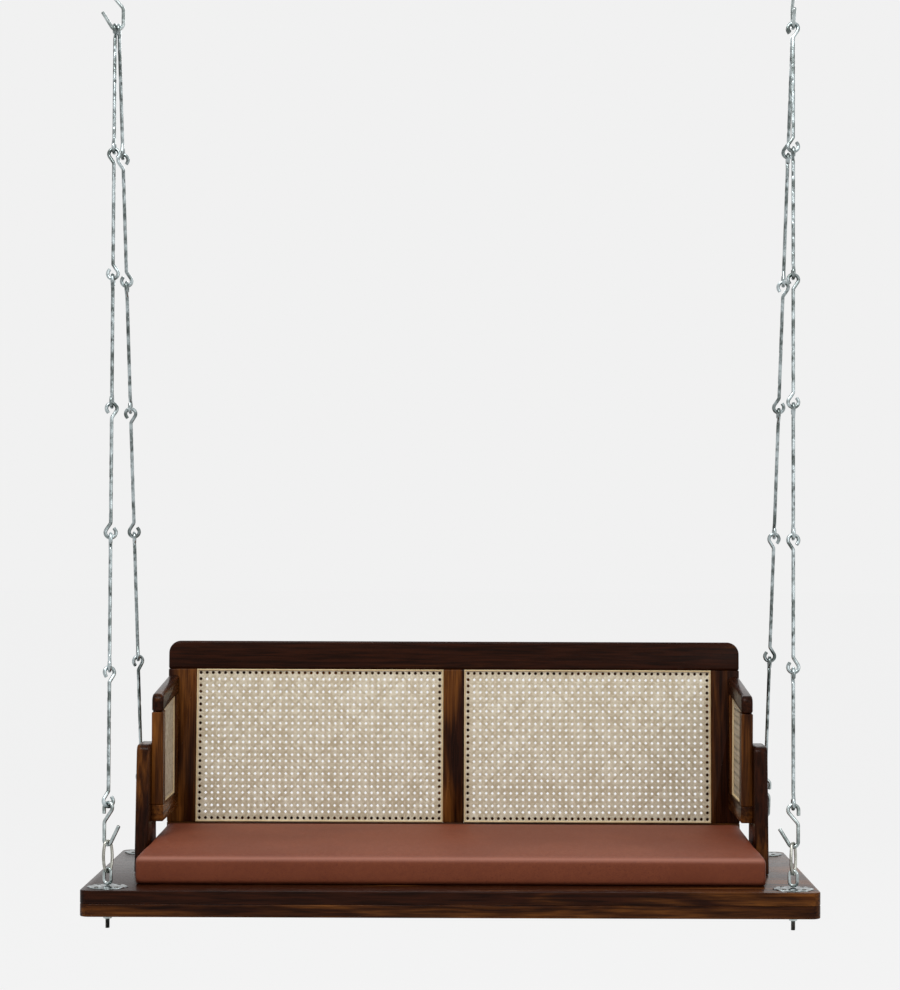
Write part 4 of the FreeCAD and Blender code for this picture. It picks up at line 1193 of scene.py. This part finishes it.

# %% [markdown]
# The solver's swelling is limited, and then the foam's own form is added. u and v run from -1 to 1 along the
# seat and from front to back, and h from 0 at the foot to 1 at the top. The top rises towards the back, and
# its crown is a parabola across the seat that is lower at the ends. The front pulls in a little between its
# corners, and its ends swell a little where no post holds them. Last, the band along the front's top edge
# gets a painted highlight, a paler colour carried on the mesh.

# %% Cushion: form
PUFF = 5 * MM
PUFF_SHARE = 0.6
RISE = 10 * MM
CROWN = 7 * MM
FRONT_TUCK = 3 * MM
END_BULGE = 4 * MM
BULGE_FROM, BULGE_RAMP = -0.35, 0.3
HIGHLIGHT_BAND = 5 * MM
moved = mesh_points(cushion.data) - rest
far = np.linalg.norm(moved, axis=1, keepdims=True)
moved = moved * np.minimum(1, PUFF / np.maximum(far, 1e-9))
u, v, h = ((rest - slab_low) / (slab_high - slab_low)).T
u, v, h = u * 2 - 1, v * 2 - 1, np.clip(h, 0, 1)
points = rest + moved * (h * (1 - np.abs(v) ** 6))[:, None] * PUFF_SHARE
points[:, 2] += h * (RISE * (v + 1) / 2 + CROWN * (1 - u**2 / 2) * np.clip(1 - v**2, 0, 1))
points[:, 1] += np.where(v < 0, FRONT_TUCK * (1 - u**2) * v**2, 0)
points[:, 0] += END_BULGE * np.sign(u) * np.abs(u) ** 8 * np.clip((BULGE_FROM - v) / BULGE_RAMP, 0, 1)
points[:, 2] = np.maximum(points[:, 2], slab_low[2])
set_points(cushion.data, points)
# The band along the front's top edge carries a painted highlight.
from_edge = np.hypot(rest[:, 2] - slab_high[2], rest[:, 1] - slab_low[1])
paint_points(cushion.data, "stretch", np.exp(-((from_edge / HIGHLIGHT_BAND) ** 2)))
print(f"cushion: {len(points)} points, moved by up to {far.max() / MM:.1f} mm before the limit")
cushion.data.materials.append(leatherette)
cushion.data.shade_smooth()
smooth = cushion.modifiers.new("smooth", "SUBSURF")
smooth.levels = smooth.render_levels = 1
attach(cushion, "cushion")
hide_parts("cushion")

# %% [markdown]
# ## Camera, light and floor
# The portrait was taken from straight ahead, a little above the seat, with a long lens. A lens that looks
# exactly along the depth keeps uprights upright, and a small shift frames the bench.

# %% Camera
PHOTO_WIDE, PHOTO_TALL = 900, 990
FOCAL_PIXELS = 2690
VANISH_X, VANISH_Y = 479, 526
EYE_RIGHT, EYE_AHEAD, EYE_ABOVE = 0.049, 4.778, 0.65
TILT = math.radians(-0.2)
camera = bpy.data.objects.new("portrait_camera", bpy.data.cameras.new("portrait_camera"))
bpy.context.scene.collection.objects.link(camera)
camera.data.sensor_width = 36
camera.data.lens = FOCAL_PIXELS / PHOTO_TALL * camera.data.sensor_width
camera.data.shift_x = -(VANISH_X - PHOTO_WIDE / 2) / PHOTO_TALL
camera.data.shift_y = (VANISH_Y - PHOTO_TALL / 2) / PHOTO_TALL
camera.data.clip_end = 60
front_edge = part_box("seat_board")[0][1]
camera.location = (EYE_RIGHT, front_edge - EYE_AHEAD, base_top + EYE_ABOVE)
camera.rotation_euler = (math.pi / 2, TILT, 0)
bpy.context.scene.camera = camera
print(f"lens {camera.data.lens:.1f} mm, {EYE_AHEAD} m in front of the seat")

# %% [markdown]
# A plain pale room: one big soft lamp above and in front, a weaker one on the right, another behind, and an
# even pale world. The camera, metal and glass see the background's own colour, and the floor keeps a soft
# shadow. Seen from below the floor is clear, so that it doesn't hide the underside.

# %% World
BACKDROP = (*paint(241, 241, 241), 1)
EVEN_LIGHT = 0.36


def seen_plainly(material):
    """1 for a ray from the camera, off metal or through glass: such rays see the backdrop's own colour."""
    kinds = ("Camera", "Glossy", "Transmission")
    camera, glossy, through = (material.add("ShaderNodeLightPath", output=f"Is {kind} Ray") for kind in kinds)
    return camera.sum("MAXIMUM", glossy).sum("MAXIMUM", through)


class Room(Finish):
    """The world's nodes, with the same method that adds them."""

    def __init__(self, name):
        self.world = bpy.data.worlds.new(name)
        self.world.use_nodes = True
        self.tree = self.world.node_tree
        self.tree.nodes.clear()


room = Room("pale_room")
even = room.add("ShaderNodeBackground", {"Color": (0.97, 0.985, 1.0, 1), "Strength": EVEN_LIGHT})
plain = room.add("ShaderNodeBackground", {"Color": BACKDROP, "Strength": 1.0})
mixed = room.add("ShaderNodeMixShader", {0: seen_plainly(room), 1: even, 2: plain})
room.add("ShaderNodeOutputWorld", {"Surface": mixed})
bpy.context.scene.world = room.world


# %% Lamps and floor
FLOOR_DROP = 0.4
FLOOR_REACH = 40
PLAIN_SHARE = 0.95


def lamp(name, spot, aim, size, power):
    """A flat rectangular lamp that faces a point."""
    data = bpy.data.lights.new(name, "AREA")
    data.shape = "RECTANGLE"
    data.size, data.size_y = size
    data.energy = power
    light = bpy.data.objects.new(name, data)
    bpy.context.scene.collection.objects.link(light)
    light.location = spot
    across, depth, rise = np.array(aim) - np.array(spot)
    light.rotation_euler = (math.atan2(math.hypot(across, depth), -rise), 0, math.atan2(-across, depth))


bench_middle = (0, 0, base_top + 0.2)
lamp("key", (-0.8, -2.4, 2.4), bench_middle, size=(2.6, 1.8), power=150)
lamp("fill", (2.6, -3.2, 0.2), bench_middle, size=(1.8, 2.4), power=32)
lamp("rear", (0.5, 2.8, 0.8), bench_middle, size=(2.6, 1.2), power=30)
corner_signs = np.array([(-1, -1, 0), (1, -1, 0), (1, 1, 0), (-1, 1, 0)])
corners = corner_signs * FLOOR_REACH + [0, 0, base_low - FLOOR_DROP]
floor = bpy.data.objects.new("floor", quad_mesh("floor", corners, [[0, 1, 2, 3]]))
bpy.context.scene.collection.objects.link(floor)
ground = Finish("pale_floor")
lit = ground.add("ShaderNodeBsdfDiffuse", {"Color": BACKDROP})
shown = ground.add("ShaderNodeEmission", {"Color": (*paint(244, 244, 244), 1), "Strength": 1.0})
blended = ground.add("ShaderNodeMixShader", {0: seen_plainly(ground) * PLAIN_SHARE, 1: lit, 2: shown})
underside = ground.add("ShaderNodeNewGeometry", output="Backfacing")
clear = ground.add("ShaderNodeBsdfTransparent")
sided = ground.add("ShaderNodeMixShader", {0: underside, 1: blended, 2: clear})
ground.add("ShaderNodeOutputMaterial", {"Surface": sided})
floor.data.materials.append(ground.material)

# %% View settings
bpy.context.scene.view_settings.view_transform = "Standard"
